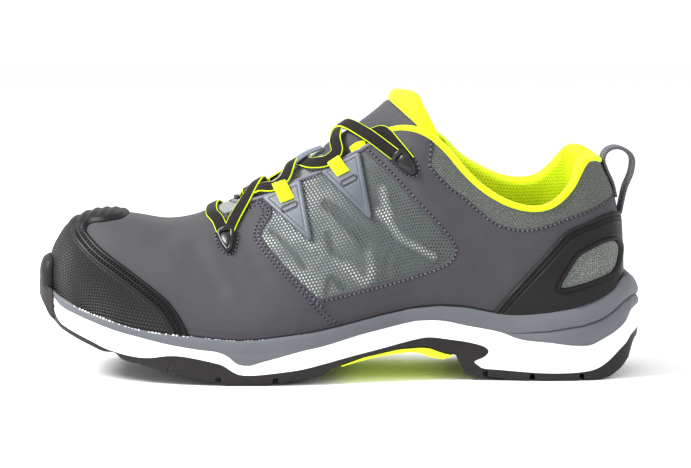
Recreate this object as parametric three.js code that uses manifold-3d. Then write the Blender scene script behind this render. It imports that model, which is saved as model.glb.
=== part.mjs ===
// Low-cut safety shoe for the left foot, in millimetres.
// +Z is up, the toe points to -Y and the outer side of the foot is +X.
// The origin is on the ground, midway between the widest points and the two ends of the outsole.
import * as THREE from "three";
import { mergeVertices } from "three/addons/utils/BufferGeometryUtils.js";
import Module from "manifold-3d";

const wasm = await Module();
wasm.setup();

// Driving sizes
const length = 300; // outsole from toe tip to heel tip
const ballWidth = 108; // outsole across the ball
const heelWidth = 77; // outsole across the heel seat
const bodyHeight = 100; // height that the upper's side lines are shares of
const soleHeight = 36; // height of the sole's side at the waist
const upperWall = 2.2;
const overlayWall = 1.6; // toe cap and heel counter
const plateWall = 1.3; // moulded lace plates
const tongueWall = 5;
const collarPad = 6;
const insoleThickness = 3.2;
const bumperWall = 3.2;
const clearance = 0.3; // between pieces that meet
const rimMargin = 2.8; // the sole's edge outside the upper
const rimWidth = 6.5; // ledge of the carrier that the upper stands on
const treadDepth = 3.2;
const treadGroove = 5;
const laceWidth = 6;
const laceThickness = 1.4;
const loopWidth = 15; // heel pull loop
const loopThickness = 1.8;
const cordEyeWall = 1.7; // webbing loops that hold the lace
const eyeLong = 9; // webbing loop, along its strap and across it
const eyeWide = 6.5;
const ringLong = 11;
const ringWide = 8;
const ringWire = 2.4;
const archInset = 1.5; // arch plate inside the sole's outline
const treadChannel = 7; // long groove down the middle of the tread

// A table with named columns: one object for each row.
const table = (names, rows) =>
  rows.map((row) => Object.fromEntries(names.split(" ").map((name, i) => [name, row[i]])));

// Half of the sole's plan outline on each side. lateral and medial are shares of half the local width.
const plan = table("at lateral medial", [
  [0, -0.09, 0.09],
  [0.012, 0.22, 0.37],
  [0.045, 0.5, 0.62],
  [0.11, 0.74, 0.85],
  [0.2, 0.91, 0.975],
  [0.29, 0.985, 1],
  [0.37, 1, 0.965],
  [0.45, 0.96, 0.86],
  [0.54, 0.93, 0.78],
  [0.64, 0.95, 0.82],
  [0.74, 0.985, 0.93],
  [0.84, 1, 1],
  [0.915, 0.93, 0.93],
  [0.965, 0.7, 0.69],
  [0.99, 0.38, 0.36],
  [1, 0, 0],
]);

// Sections of the last, each in a plane that leans from its foot line to its top line.
// foot and top are shares of length, rise of bodyHeight; mid and shoulder are shares of the plan's
// half width at 0.5 and 0.8 of the section's height; lean moves the ridge, as a share of half ballWidth.
const last = table("foot top rise mid shoulder lean", [
  [0.104, 0.03, 0.34, 1, 0.98, -0.07],
  [0.107, 0.0275, 0.455, 1, 0.97, -0.07],
  [0.111, 0.029, 0.57, 1, 0.93, -0.07],
  [0.116, 0.04, 0.645, 0.99, 0.88, -0.07],
  [0.124, 0.057, 0.71, 0.98, 0.84, -0.07],
  [0.134, 0.081, 0.748, 0.97, 0.8, -0.08],
  [0.148, 0.112, 0.763, 0.96, 0.77, -0.09],
  [0.172, 0.154, 0.752, 0.94, 0.73, -0.1],
  [0.222, 0.213, 0.727, 0.92, 0.68, -0.12],
  [0.282, 0.272, 0.763, 0.87, 0.6, -0.13],
  [0.337, 0.333, 0.853, 0.82, 0.53, -0.12],
  [0.392, 0.392, 0.955, 0.79, 0.48, -0.1],
  [0.447, 0.453, 1.075, 0.78, 0.46, -0.08],
  [0.5, 0.507, 1.185, 0.78, 0.47, -0.06],
  [0.547, 0.55, 1.275, 0.78, 0.5, -0.04],
  [0.587, 0.583, 1.365, 0.79, 0.54, -0.03],
  [0.62, 0.605, 1.48, 0.81, 0.59, -0.02],
  [0.653, 0.627, 1.62, 0.84, 0.68, 0],
  [0.693, 0.673, 1.72, 0.86, 0.78, 0],
  [0.74, 0.733, 1.75, 0.86, 0.82, 0],
  [0.787, 0.807, 1.72, 0.84, 0.8, 0],
  [0.823, 0.867, 1.62, 0.82, 0.76, 0],
  [0.843, 0.895, 1.42, 0.83, 0.74, 0],
  [0.856, 0.912, 1.2, 0.86, 0.74, 0],
  [0.864, 0.93, 1.03, 0.9, 0.76, 0],
  [0.869, 0.948, 0.9, 0.94, 0.82, 0],
  [0.872, 0.957, 0.77, 0.97, 0.88, 0],
  [0.8745, 0.9605, 0.64, 0.99, 0.93, 0],
  [0.877, 0.962, 0.5, 1, 0.97, 0],
  [0.88, 0.961, 0.37, 1, 0.99, 0],
]);

// Side lines of the sole, from toe to heel. at is a share of length, up of soleHeight.
const ground = table("at up", [
  [-0.03, 1.12],
  [0, 1.07],
  [0.012, 0.95],
  [0.024, 0.79],
  [0.043, 0.66],
  [0.073, 0.545],
  [0.1, 0.455],
  [0.117, 0.4],
  [0.137, 0.395],
  [0.15, 0.305],
  [0.19, 0.235],
  [0.223, 0.155],
  [0.267, 0.08],
  [0.31, 0.02],
  [0.325, 0],
  [0.388, 0],
  [0.415, 0.035],
  [0.473, 0.11],
  [0.483, 0.15],
  [0.487, 0.2],
  [0.54, 0.345],
  [0.597, 0.44],
  [0.643, 0.457],
  [0.67, 0.37],
  [0.69, 0.34],
  [0.667, 0.262],
  [0.68, 0.155],
  [0.705, 0.09],
  [0.735, 0.045],
  [0.785, 0],
  [0.927, 0],
  [0.945, 0.036],
  [0.963, 0.125],
  [0.977, 0.25],
  [0.983, 0.375],
  [0.99, 0.48],
  [1.03, 0.6],
]);
const treadTop = table("at up", [
  [-0.03, 1.22],
  [0, 1.16],
  [0.027, 1.05],
  [0.033, 0.88],
  [0.043, 0.75],
  [0.06, 0.67],
  [0.1, 0.53],
  [0.127, 0.435],
  [0.153, 0.385],
  [0.18, 0.355],
  [0.2, 0.36],
  [0.22, 0.385],
  [0.24, 0.39],
  [0.263, 0.367],
  [0.3, 0.305],
  [0.313, 0.275],
  [0.337, 0.16],
  [0.357, 0.14],
  [0.407, 0.175],
  [0.44, 0.21],
  [0.473, 0.272],
  [0.533, 0.39],
  [0.56, 0.44],
  [0.633, 0.585],
  [0.647, 0.595],
  [0.673, 0.57],
  [0.713, 0.515],
  [0.737, 0.455],
  [0.743, 0.4],
  [0.737, 0.33],
  [0.72, 0.255],
  [0.727, 0.2],
  [0.733, 0.167],
  [0.763, 0.142],
  [0.84, 0.1],
  [0.893, 0.11],
  [0.92, 0.15],
  [0.94, 0.247],
  [0.957, 0.37],
  [0.973, 0.48],
  [0.983, 0.578],
  [1.03, 0.7],
]);
const foamTop = table("at up", [
  [-0.03, 1.28],
  [0, 1.22],
  [0.027, 1.1],
  [0.047, 0.965],
  [0.073, 0.883],
  [0.107, 0.786],
  [0.14, 0.703],
  [0.177, 0.633],
  [0.227, 0.544],
  [0.277, 0.48],
  [0.3, 0.461],
  [0.313, 0.433],
  [0.323, 0.389],
  [0.337, 0.294],
  [0.357, 0.272],
  [0.373, 0.308],
  [0.44, 0.458],
  [0.477, 0.522],
  [0.533, 0.653],
  [0.563, 0.711],
  [0.62, 0.814],
  [0.637, 0.825],
  [0.667, 0.819],
  [0.703, 0.758],
  [0.763, 0.658],
  [0.793, 0.567],
  [0.843, 0.517],
  [0.88, 0.472],
  [0.91, 0.475],
  [0.927, 0.533],
  [0.957, 0.661],
  [0.973, 0.769],
  [0.983, 0.911],
  [1.03, 1],
]);
const bite = table("at up", [
  [-0.03, 1.34],
  [0, 1.28],
  [0.027, 1.16],
  [0.057, 1.045],
  [0.087, 0.947],
  [0.127, 0.85],
  [0.167, 0.753],
  [0.2, 0.706],
  [0.25, 0.664],
  [0.3, 0.614],
  [0.353, 0.594],
  [0.407, 0.642],
  [0.457, 0.692],
  [0.51, 0.781],
  [0.56, 0.881],
  [0.617, 0.978],
  [0.663, 1.008],
  [0.707, 0.983],
  [0.753, 0.908],
  [0.787, 0.883],
  [0.84, 0.919],
  [0.897, 1.019],
  [0.927, 1.12],
  [0.95, 1.25],
  [0.965, 1.355],
  [0.98, 1.385],
  [0.99, 1.31],
  [1.03, 1.1],
]);
const footbed = table("at up", [
  [-0.03, 1.08],
  [0.03, 1.06],
  [0.06, 0.98],
  [0.1, 0.88],
  [0.16, 0.74],
  [0.25, 0.58],
  [0.36, 0.52],
  [0.46, 0.57],
  [0.55, 0.77],
  [0.62, 0.89],
  [0.68, 0.89],
  [0.76, 0.76],
  [0.85, 0.7],
  [0.95, 0.78],
  [1.03, 1.1],
]);

// Plate under the arch: its lower line, from front to back.
const archPlate = table("at up", [
  [0.684, 0.322],
  [0.668, 0.285],
  [0.648, 0.316],
  [0.633, 0.37],
  [0.613, 0.39],
  [0.56, 0.338],
  [0.532, 0.29],
]);

// Transverse grooves of the tread, by their middle, as shares of length.
const treadGrooves = [0.228, 0.306, 0.398, 0.748, 0.827, 0.911];

// Stretches of the long groove, as shares of length.
const channelRuns = table("from to", [
  [0.2, 0.415],
  [0.735, 0.945],
]);

// Side profile of the sole: up is a share of the way from the ground line to the bite line,
// out is in millimetres from the plan outline, and heelOut is added behind the arch.
const soleProfile = table("up out heelOut", [
  [-0.12, -3, 0],
  [0.05, -1.2, 0],
  [0.25, 0, 0],
  [0.46, -0.6, -0.6],
  [0.53, -0.9, 0.4],
  [0.64, -0.5, 0.5],
  [0.74, -0.7, -1.9],
  [0.84, -0.6, 0.2],
  [0.94, -1, 0.2],
  [1, -2, -0.4],
]);

// Edge of the throat and collar. outer and inner are the heights on the two sides, shares of bodyHeight.
const collar = table("at outer inner", [
  [0.313, 0.84, 0.84],
  [0.335, 0.84, 0.845],
  [0.365, 0.858, 0.864],
  [0.39, 0.887, 0.893],
  [0.425, 0.943, 0.95],
  [0.478, 1.012, 1.02],
  [0.52, 1.085, 1.09],
  [0.55, 1.135, 1.14],
  [0.583, 1.205, 1.21],
  [0.615, 1.222, 1.227],
  [0.638, 1.205, 1.215],
  [0.66, 1.163, 1.178],
  [0.68, 1.105, 1.13],
  [0.703, 1.02, 1.06],
  [0.735, 0.93, 1.0],
  [0.775, 0.86, 0.945],
  [0.813, 0.832, 0.93],
  [0.84, 0.842, 0.95],
  [0.863, 0.888, 1.01],
  [0.88, 0.95, 1.07],
  [0.89, 1.02, 1.1],
  [0.9, 1.068, 1.105],
  [0.915, 1.07, 1.085],
  [0.93, 1.048, 1.05],
  [0.96, 1.02, 1.02],
]);

// Side outlines of the overlays, as shares of length and bodyHeight.
const toeCapEdge = table("at up", [
  [-0.05, 0.1],
  [0.259, 0.1],
  [0.259, 0.233],
  [0.2485, 0.304],
  [0.228, 0.384],
  [0.2, 0.45],
  [0.161, 0.529],
  [0.121, 0.61],
  [0.098, 0.665],
  [0.087, 0.7],
  [0.09, 0.722],
  [0.117, 0.735],
  [0.147, 0.76],
  [0.15, 0.9],
  [-0.05, 0.9],
]);
const counterEdge = table("at up", [
  [1.1, 0.2],
  [0.73, 0.2],
  [0.752, 0.334],
  [0.827, 0.588],
  [0.852, 0.673],
  [0.866, 0.716],
  [0.903, 0.766],
  [0.94, 0.805],
  [0.972, 0.785],
  [1.1, 0.78],
]);
const counterWindow = table("at up", [
  [0.942, 0.69],
  [0.9575, 0.64],
  [0.949, 0.528],
  [0.939, 0.496],
  [0.862, 0.427],
  [0.851, 0.44],
  [0.851, 0.455],
  [0.88, 0.599],
  [0.893, 0.63],
]);
const tongueEdge = table("at up", [
  [0.273, 0.66],
  [0.273, 1.395],
  [0.62, 1.395],
  [0.6285, 1.365],
  [0.647, 1.27],
  [0.663, 1.17],
  [0.653, 1.07],
  [0.6, 1],
  [0.533, 0.95],
  [0.467, 0.87],
  [0.387, 0.77],
  [0.317, 0.665],
]);
const liningEdge = table("at up", [
  [0.675, 0.86],
  [0.72, 0.74],
  [0.8, 0.62],
  [0.88, 0.66],
  [1, 0.78],
]);

// Moulded plates under the lace: three corners each, as shares of length and bodyHeight.
const lacePlates = [
  table("at up", [
    [0.374, 0.855],
    [0.44, 0.948],
    [0.453, 0.682],
  ]),
  table("at up", [
    [0.472, 0.988],
    [0.537, 1.092],
    [0.549, 0.79],
  ]),
];
// Webbing loops on the plates and rings at the ends of the lacing: middle, tilt in degrees and size.
const webbingLoops = table("at up tilt", [
  [0.4107, 0.902, 22],
  [0.5, 1.035, 32],
]);
const laceRings = table("at up tilt", [
  [0.3185, 0.668, 60],
  [0.611, 1.055, -45],
]);

// Shared curves and lines
const alongLength = (share) => (share - 0.5) * length;
const smooth = (low, high, value) => {
  const s = Math.min(1, Math.max(0, (value - low) / (high - low)));
  return s * s * (3 - 2 * s);
};
const mix = (a, b, share) => a + (b - a) * share;

// Value of a column of a table at a share of length, in straight stretches.
function valueAt(rows, at, column = "up") {
  let i = 1;
  while (i < rows.length - 1 && rows[i].at < at) i += 1;
  const [a, b] = [rows[i - 1], rows[i]];
  return mix(a[column], b[column], (at - a.at) / (b.at - a.at));
}

const soleLine = (rows) => (y) => soleHeight * valueAt(rows, y / length + 0.5);
const biteHeight = soleLine(bite);
const footbedHeight = soleLine(footbed);

// Sole outline as a closed curve, with the same number of points on both sides.
function planPoints() {
  const half = (at) => mix(ballWidth, heelWidth, smooth(0.42, 0.72, at)) / 2;
  const side = (row, column, sign) =>
    new THREE.Vector3(sign * row[column] * half(row.at), alongLength(row.at), 0);
  const outer = plan.map((row) => side(row, "lateral", 1));
  const inner = plan.slice(1, -1).map((row) => side(row, "medial", -1));
  const curve = new THREE.CatmullRomCurve3([...outer, ...inner.reverse()], true);
  const steps = 2 * curve.points.length;
  return Array.from({ length: steps }, (_, i) => {
    const point = curve.getPoint(i / steps);
    const along = curve.getTangent(i / steps);
    return { x: point.x, y: point.y, outX: along.y, outY: -along.x };
  });
}
const contour = planPoints();

// The contour moved in or out by a distance.
const movedContour = (distance) =>
  contour.map((p) => ({ x: p.x + p.outX * distance, y: p.y + p.outY * distance }));

// Half width of the last's plan at y, on the outer (1) or inner (-1) side.
const lastContour = movedContour(-rimMargin - upperWall);
function lastHalf(y, sign) {
  const half = lastContour.length / 2;
  const side = lastContour.slice(0, half + 1).map((p, i) =>
    sign > 0 ? p : lastContour[(lastContour.length - i) % lastContour.length],
  );
  if (y <= side[0].y) return 0;
  for (let i = 1; i < side.length; i += 1) {
    if (side[i].y >= y) {
      const share = (y - side[i - 1].y) / (side[i].y - side[i - 1].y);
      return Math.abs(mix(side[i - 1].x, side[i].x, share));
    }
  }
  return 0;
}

// Closed meshes
// Geometry from rings of equal length, stacked, with strips across the first and the last ring.
function ringSolid(rings) {
  const count = rings[0].length;
  const positions = rings.flat().flatMap((p) => [p.x, p.y, p.z]);
  const indices = [];
  const quad = (a, b, c, d) => indices.push(a, b, c, a, c, d);
  for (let r = 0; r + 1 < rings.length; r += 1) {
    for (let i = 0; i < count; i += 1) {
      const j = (i + 1) % count;
      quad(r * count + i, r * count + j, (r + 1) * count + j, (r + 1) * count + i);
    }
  }
  const top = (rings.length - 1) * count;
  const opposite = (i) => (count - i) % count;
  for (let i = 0; i < count / 2; i += 1) {
    const [a, b, c, d] = [i, i + 1, opposite(i + 1), opposite(i)];
    if (i > 0) indices.push(a, c, b, a, d, c);
    else indices.push(a, c, b);
    if (i > 0) indices.push(top + a, top + b, top + c, top + a, top + c, top + d);
    else indices.push(top + a, top + b, top + c);
  }
  const geometry = new THREE.BufferGeometry();
  geometry.setAttribute("position", new THREE.Float32BufferAttribute(positions, 3));
  geometry.setIndex(indices.filter((_, i) => {
    const t = indices.slice(i - (i % 3), i - (i % 3) + 3);
    return new Set(t).size === 3;
  }));
  return geometry;
}

// A manifold-3d solid from a closed geometry.
function solidFrom(geometry) {
  const bare = geometry.clone();
  bare.deleteAttribute("normal");
  bare.deleteAttribute("uv");
  const merged = mergeVertices(bare, 1e-4);
  const made = new wasm.Manifold(
    new wasm.Mesh({
      numProp: 3,
      vertProperties: merged.attributes.position.array,
      triVerts: new Uint32Array(merged.index.array),
    }),
  );
  if (made.volume() > 0) return made;
  const turned = new Uint32Array(merged.index.array);
  for (let i = 0; i < turned.length; i += 3) {
    [turned[i + 1], turned[i + 2]] = [turned[i + 2], turned[i + 1]];
  }
  return new wasm.Manifold(
    new wasm.Mesh({
      numProp: 3,
      vertProperties: merged.attributes.position.array,
      triVerts: turned,
    }),
  );
}

// The last, grown outwards by a distance: the form that every piece of the upper is cut from.
const sectionHeights = [0, 0.2, 0.5, 0.8, 0.967, 1];
const footShare = 0.95;
const crownShare = 0.55; // width just under the ridge, as a share of the shoulder
const footDrop = 8; // the form reaches this far below the bite line
const sectionSteps = 18;

function lastSection(row) {
  const footY = alongLength(row.foot);
  const topY = alongLength(row.top);
  const footZ = biteHeight(footY) - footDrop;
  const topZ = row.rise * bodyHeight;
  const ridge = (row.lean * ballWidth) / 2;
  const shares = [footShare, 1, row.mid, row.shoulder, row.shoulder * crownShare];
  const point = (sign) => (share, i) => {
    const up = sectionHeights[i];
    const y = mix(footY, topY, up);
    const shift = ridge * up * up;
    return new THREE.Vector3(shift + sign * share * lastHalf(y, sign), y, mix(footZ, topZ, up));
  };
  const crown = new THREE.Vector3(ridge, topY, topZ);
  const points = [
    ...shares.map(point(1)),
    crown,
    ...shares.map(point(-1)).reverse(),
  ];
  const curve = new THREE.CatmullRomCurve3(points);
  return Array.from({ length: sectionSteps + 1 }, (_, i) => curve.getPoint(i / sectionSteps));
}

function lastGeometry() {
  const rows = last.map(lastSection);
  const count = sectionSteps + 1;
  const positions = rows.flat().flatMap((p) => [p.x, p.y, p.z]);
  const indices = [];
  rows.slice(1).forEach((_, r) => {
    for (let i = 0; i < count; i += 1) {
      const j = (i + 1) % count;
      const [a, b] = [r * count, (r + 1) * count];
      indices.push(a + i, b + j, a + j, a + i, b + i, b + j);
    }
  });
  const end = (start, flip) => {
    for (let i = 0; i < sectionSteps / 2; i += 1) {
      const [a, b] = [start + i, start + i + 1];
      const [c, d] = [start + sectionSteps - i - 1, start + sectionSteps - i];
      if (b !== c) indices.push(...(flip ? [a, c, b] : [a, b, c]));
      indices.push(...(flip ? [a, d, c] : [a, c, d]));
    }
  };
  end(0, false);
  end((rows.length - 1) * count, true);
  const geometry = new THREE.BufferGeometry();
  geometry.setAttribute("position", new THREE.Float32BufferAttribute(positions, 3));
  geometry.setIndex(indices);
  geometry.computeVertexNormals();
  return geometry;
}
const lastForm = lastGeometry();
const outward = solidFrom(lastForm).volume() > 0 ? 1 : -1;
const grownForms = new Map();

function grown(distance) {
  if (!grownForms.has(distance)) {
    const geometry = lastForm.clone();
    const position = geometry.attributes.position;
    const normal = geometry.attributes.normal;
    for (let i = 0; i < position.count; i += 1) {
      position.setXYZ(
        i,
        position.getX(i) + outward * distance * normal.getX(i),
        position.getY(i) + outward * distance * normal.getY(i),
        position.getZ(i) + outward * distance * normal.getZ(i),
      );
    }
    grownForms.set(distance, solidFrom(geometry));
  }
  return grownForms.get(distance);
}

// A layer of the form between two distances from the last.
const layer = (inner, thickness) => grown(inner + thickness).subtract(grown(inner));

// Prism across the shoe from a side outline. The two ends may differ, for a slanted edge.
const reach = 80;

function ruledPrism(outer, inner, low = -reach, high = reach) {
  const shape = outer.map((p) => new THREE.Vector2(p.y, p.z));
  if (THREE.ShapeUtils.isClockWise(shape)) {
    return ruledPrism([...outer].reverse(), [...inner].reverse(), low, high);
  }
  const faces = THREE.ShapeUtils.triangulateShape(shape, []);
  const positions = [
    ...outer.flatMap((p) => [high, p.y, p.z]),
    ...inner.flatMap((p) => [low, p.y, p.z]),
  ];
  const count = outer.length;
  const indices = [];
  faces.forEach(([a, b, c]) => indices.push(a, b, c, count + a, count + c, count + b));
  for (let i = 0; i < count; i += 1) {
    const j = (i + 1) % count;
    indices.push(i, count + i, count + j, i, count + j, j);
  }
  const geometry = new THREE.BufferGeometry();
  geometry.setAttribute("position", new THREE.Float32BufferAttribute(positions, 3));
  geometry.setIndex(indices);
  return solidFrom(geometry);
}

const prism = (outline, low, high) => ruledPrism(outline, outline, low, high);
const bodyOutline = (rows, column = "up") =>
  rows.map((row) => ({ y: alongLength(row.at), z: row[column] * bodyHeight }));

// Points of a side line of the sole, moved to the left of its run by a distance.
function soleOutline(rows, distance = 0) {
  const points = rows.map((row) => new THREE.Vector2(alongLength(row.at), row.up * soleHeight));
  return points.map((point, i) => {
    const before = points[Math.max(i - 1, 0)];
    const after = points[Math.min(i + 1, points.length - 1)];
    const into = point.clone().sub(before).normalize();
    const from = after.clone().sub(point).normalize();
    const along = into.clone().add(from).normalize();
    const edge = i > 0 ? into : from;
    const spread = distance / Math.max(0.5, along.dot(edge));
    return { y: point.x - along.y * spread, z: point.y + along.x * spread };
  });
}

// Sole
// The ground line without the stretch that turns back under the arch.
const forwardGround = ground.filter((row, i) => ground.slice(0, i).every((before) => before.at < row.at));
const wallHeight = soleLine(forwardGround);

// The whole sole as one block, from below the ground line to the bite line.
function soleBlock() {
  const rings = soleProfile.map((level) =>
    contour.map((p) => {
      const behindArch = smooth(length * 0.18, length * 0.34, p.y);
      const out = level.out + level.heelOut * behindArch;
      const x = p.x + p.outX * out;
      const y = p.y + p.outY * out;
      return { x, y, z: mix(wallHeight(y), biteHeight(y), level.up) };
    }),
  );
  return solidFrom(ringSolid(rings));
}
const block = soleBlock();

// Everything between two side lines, each moved inwards by its own spare distance.
function between(lower, upper, lowerSpare = clearance / 2, upperSpare = clearance / 2) {
  return prism([...soleOutline(lower, lowerSpare), ...soleOutline(upper, -upperSpare).reverse()]);
}

// Space of a rubber bumper over the tip of the toe cap.
const bumperInner = upperWall + 2 * clearance + overlayWall;
const bumperHalf = 0.4; // share of half ballWidth
const bumperTop = 0.6; // share of bodyHeight
const bumperFoot = 0.8; // share of soleHeight
const bumperBack = 0.0385; // share of length
const bumperRound = 0.8; // share of the bumper's half width
function bumperZone(spare) {
  const back = alongLength(bumperBack) + spare;
  const foot = soleHeight * bumperFoot;
  const head = bodyHeight * bumperTop + spare;
  const front = [
    { y: -length, z: foot },
    { y: back, z: foot },
    { y: back, z: head },
    { y: -length, z: head },
  ];
  const middle = (last[0].lean * ballWidth) / 2;
  const half = (bumperHalf * ballWidth) / 2 + spare;
  const shape = new THREE.Shape();
  const corner = half * bumperRound;
  shape.moveTo(-half, 0);
  shape.lineTo(half, 0);
  shape.lineTo(half, head - corner);
  shape.quadraticCurveTo(half, head, half - corner, head);
  shape.lineTo(corner - half, head);
  shape.quadraticCurveTo(-half, head, -half, head - corner);
  const arch = new THREE.ExtrudeGeometry(shape, { depth: length, bevelEnabled: false, curveSegments: 4 });
  arch.rotateX(Math.PI / 2);
  arch.translate(middle, 0, 0);
  return prism(front).intersect(solidFrom(arch));
}

function makeOutsole() {
  const tread = block.intersect(between(ground, treadTop, 0));
  const bumper = layer(bumperInner, bumperWall).intersect(bumperZone(0));
  const solid = tread.add(bumper);
  const grooves = treadGrooves.map((at) => {
    const y = alongLength(at);
    const z = soleHeight * valueAt(forwardGround, at);
    const half = treadGroove / 2;
    return prism([
      { y: y - half, z: z - treadGroove },
      { y: y + half, z: z - treadGroove },
      { y: y + half * 0.75, z: z + treadDepth },
      { y: y - half * 0.75, z: z + treadDepth },
    ]);
  });
  const channels = channelRuns.map((run) => {
    const rows = forwardGround.filter((row) => row.at >= run.from && row.at <= run.to);
    const roof = soleOutline(rows, treadDepth);
    const ends = [roof[roof.length - 1], roof[0]].map((p) => ({ y: p.y, z: -treadDepth }));
    return prism([...roof, ...ends], -treadChannel / 2, treadChannel / 2);
  });
  return [...grooves, ...channels].reduce((body, groove) => body.subtract(groove), solid);
}

const bumperEnvelope = grown(bumperInner + bumperWall + clearance).intersect(bumperZone(clearance));

function makeMidsole() {
  return block.intersect(between(treadTop, foamTop)).subtract(bumperEnvelope);
}

function makeCarrier() {
  const rings = [0, 1].map((level) =>
    movedContour(-rimMargin - rimWidth).map((p) => ({
      ...p,
      z: level ? bodyHeight : footbedHeight(p.y),
    })),
  );
  const cup = solidFrom(ringSolid(rings));
  return block.intersect(between(foamTop, bite, clearance / 2, 0)).subtract(cup).subtract(bumperEnvelope);
}

function makeArchPlate() {
  const lower = soleOutline(archPlate);
  const first = ground.findIndex((row) => row.at > archPlate[archPlate.length - 1].at);
  const roof = soleOutline(ground.slice(first, first + 4), -clearance);
  const rings = [0, soleHeight].map((z) => movedContour(-archInset).map((p) => ({ ...p, z })));
  return prism([...lower, ...roof]).intersect(solidFrom(ringSolid(rings)));
}

function makeInsole() {
  const rings = [clearance, clearance + insoleThickness].map((lift) =>
    movedContour(-rimMargin - rimWidth - clearance).map((p) => ({ ...p, z: footbedHeight(p.y) + lift })),
  );
  return solidFrom(ringSolid(rings));
}

// Upper
// The region above the bite line and below the collar's edge.
const collarHalf = 0.55; // share of half ballWidth where the two side heights are measured
function upperRegion() {
  const halfWidth = (collarHalf * ballWidth) / 2;
  const spread = reach / halfWidth;
  const edge = (sign) =>
    collar.map((row) => {
      const middle = (row.outer + row.inner) / 2;
      const side = (row.outer - row.inner) / 2;
      return { y: alongLength(row.at), z: bodyHeight * (middle + sign * side * spread) };
    });
  const base = soleOutline(bite, clearance);
  const outline = (sign) => [
    ...base,
    { y: length, z: soleHeight * 1.6 },
    { y: length, z: bodyHeight },
    ...edge(sign).reverse(),
    { y: alongLength(0.3), z: bodyHeight * 1.2 },
    { y: -length, z: bodyHeight * 1.2 },
  ];
  return ruledPrism(outline(1), outline(-1));
}
const shoeRegion = upperRegion();
const keptAboveSole = prism([
  ...soleOutline(bite, clearance),
  { y: length, z: soleHeight },
  { y: length, z: 2 * bodyHeight },
  { y: -length, z: 2 * bodyHeight },
  { y: -length, z: soleHeight },
]);

const makeUpper = () => layer(0, upperWall).intersect(shoeRegion);
const overlayLayer = layer(upperWall + clearance, overlayWall).intersect(keptAboveSole);
const makeToeCap = () => overlayLayer.intersect(prism(bodyOutline(toeCapEdge)));

function makeCounter() {
  const solid = overlayLayer.intersect(prism(bodyOutline(counterEdge)));
  return solid.subtract(prism(bodyOutline(counterWindow)));
}

function makeTongue() {
  return layer(-clearance - tongueWall, tongueWall).intersect(prism(bodyOutline(tongueEdge)));
}

function makeCollarLining() {
  const lower = bodyOutline(liningEdge);
  const top = 2 * bodyHeight;
  const collarZone = prism([...lower, { y: length, z: top }, { y: lower[0].y, z: top }]);
  return layer(-clearance - collarPad, collarPad).intersect(shoeRegion).intersect(collarZone);
}

// Lacing hardware on one side: 1 is the outer side, -1 the inner.
const sideRange = (sign) => (sign > 0 ? [0, reach] : [-reach, 0]);

function makeLacePlate(rows, sign) {
  const body = layer(upperWall + clearance, plateWall);
  return body.intersect(prism(bodyOutline(rows), ...sideRange(sign)));
}

// A rectangle in side view, turned by an angle in degrees.
function turnedRectangle(row, long, wide) {
  const [cos, sin] = [Math.cos, Math.sin].map((f) => f((row.tilt * Math.PI) / 180));
  return [
    [-1, -1],
    [1, -1],
    [1, 1],
    [-1, 1],
  ].map(([a, b]) => ({
    y: alongLength(row.at) + (a * wide * cos - b * long * sin) / 2,
    z: row.up * bodyHeight + (a * wide * sin + b * long * cos) / 2,
  }));
}

const eyeFloor = upperWall + 2 * clearance + plateWall;

function makeWebbingLoop(row, sign) {
  const body = layer(eyeFloor, cordEyeWall);
  return body.intersect(prism(turnedRectangle(row, eyeLong, eyeWide), ...sideRange(sign)));
}

function makeLaceRing(row, sign) {
  const body = layer(upperWall + clearance, ringWire);
  const outside = prism(turnedRectangle(row, ringLong, ringWide), ...sideRange(sign));
  const inside = turnedRectangle(row, ringLong - 2 * ringWire, ringWide - 2 * ringWire);
  const hole = prism(inside, ...sideRange(sign));
  return body.intersect(outside).subtract(hole);
}

// Strands of the lace where they cross the tongue, as seen from above. The ends stop short of the
// rings and loops. x is a share of half ballWidth, positive on the outer side; at is a share of length.
const laceStrands = table("piece fromX fromAt toX toAt", [
  ["lace_bar", 0.36, 0.298, 0.02, 0.283],
  ["lace_bar", 0.02, 0.283, -0.53, 0.302],
  ["lace_cross_1", 0.37, 0.33, -0.38, 0.395],
  ["lace_cross_1", -0.54, 0.33, 0.25, 0.395],
  ["lace_cross_2", 0.25, 0.425, -0.33, 0.487],
  ["lace_cross_2", -0.38, 0.425, 0.28, 0.487],
  ["lace_cross_3", 0.28, 0.517, -0.43, 0.578],
  ["lace_cross_3", -0.33, 0.517, 0.48, 0.578],
]);

// A closed outline moved outwards by a distance.
function grownOutline(outline, distance) {
  const points = outline.map((p) => new THREE.Vector2(p.y, p.z));
  const turn = THREE.ShapeUtils.isClockWise(points) ? -1 : 1;
  return points.map((point, i) => {
    const before = points[(i + points.length - 1) % points.length];
    const after = points[(i + 1) % points.length];
    const into = point.clone().sub(before).normalize();
    const from = after.clone().sub(point).normalize();
    const along = into.clone().add(from).normalize();
    const spread = (turn * distance) / Math.max(0.3, along.dot(into));
    return { y: point.x + along.y * spread, z: point.y - along.x * spread };
  });
}

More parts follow.
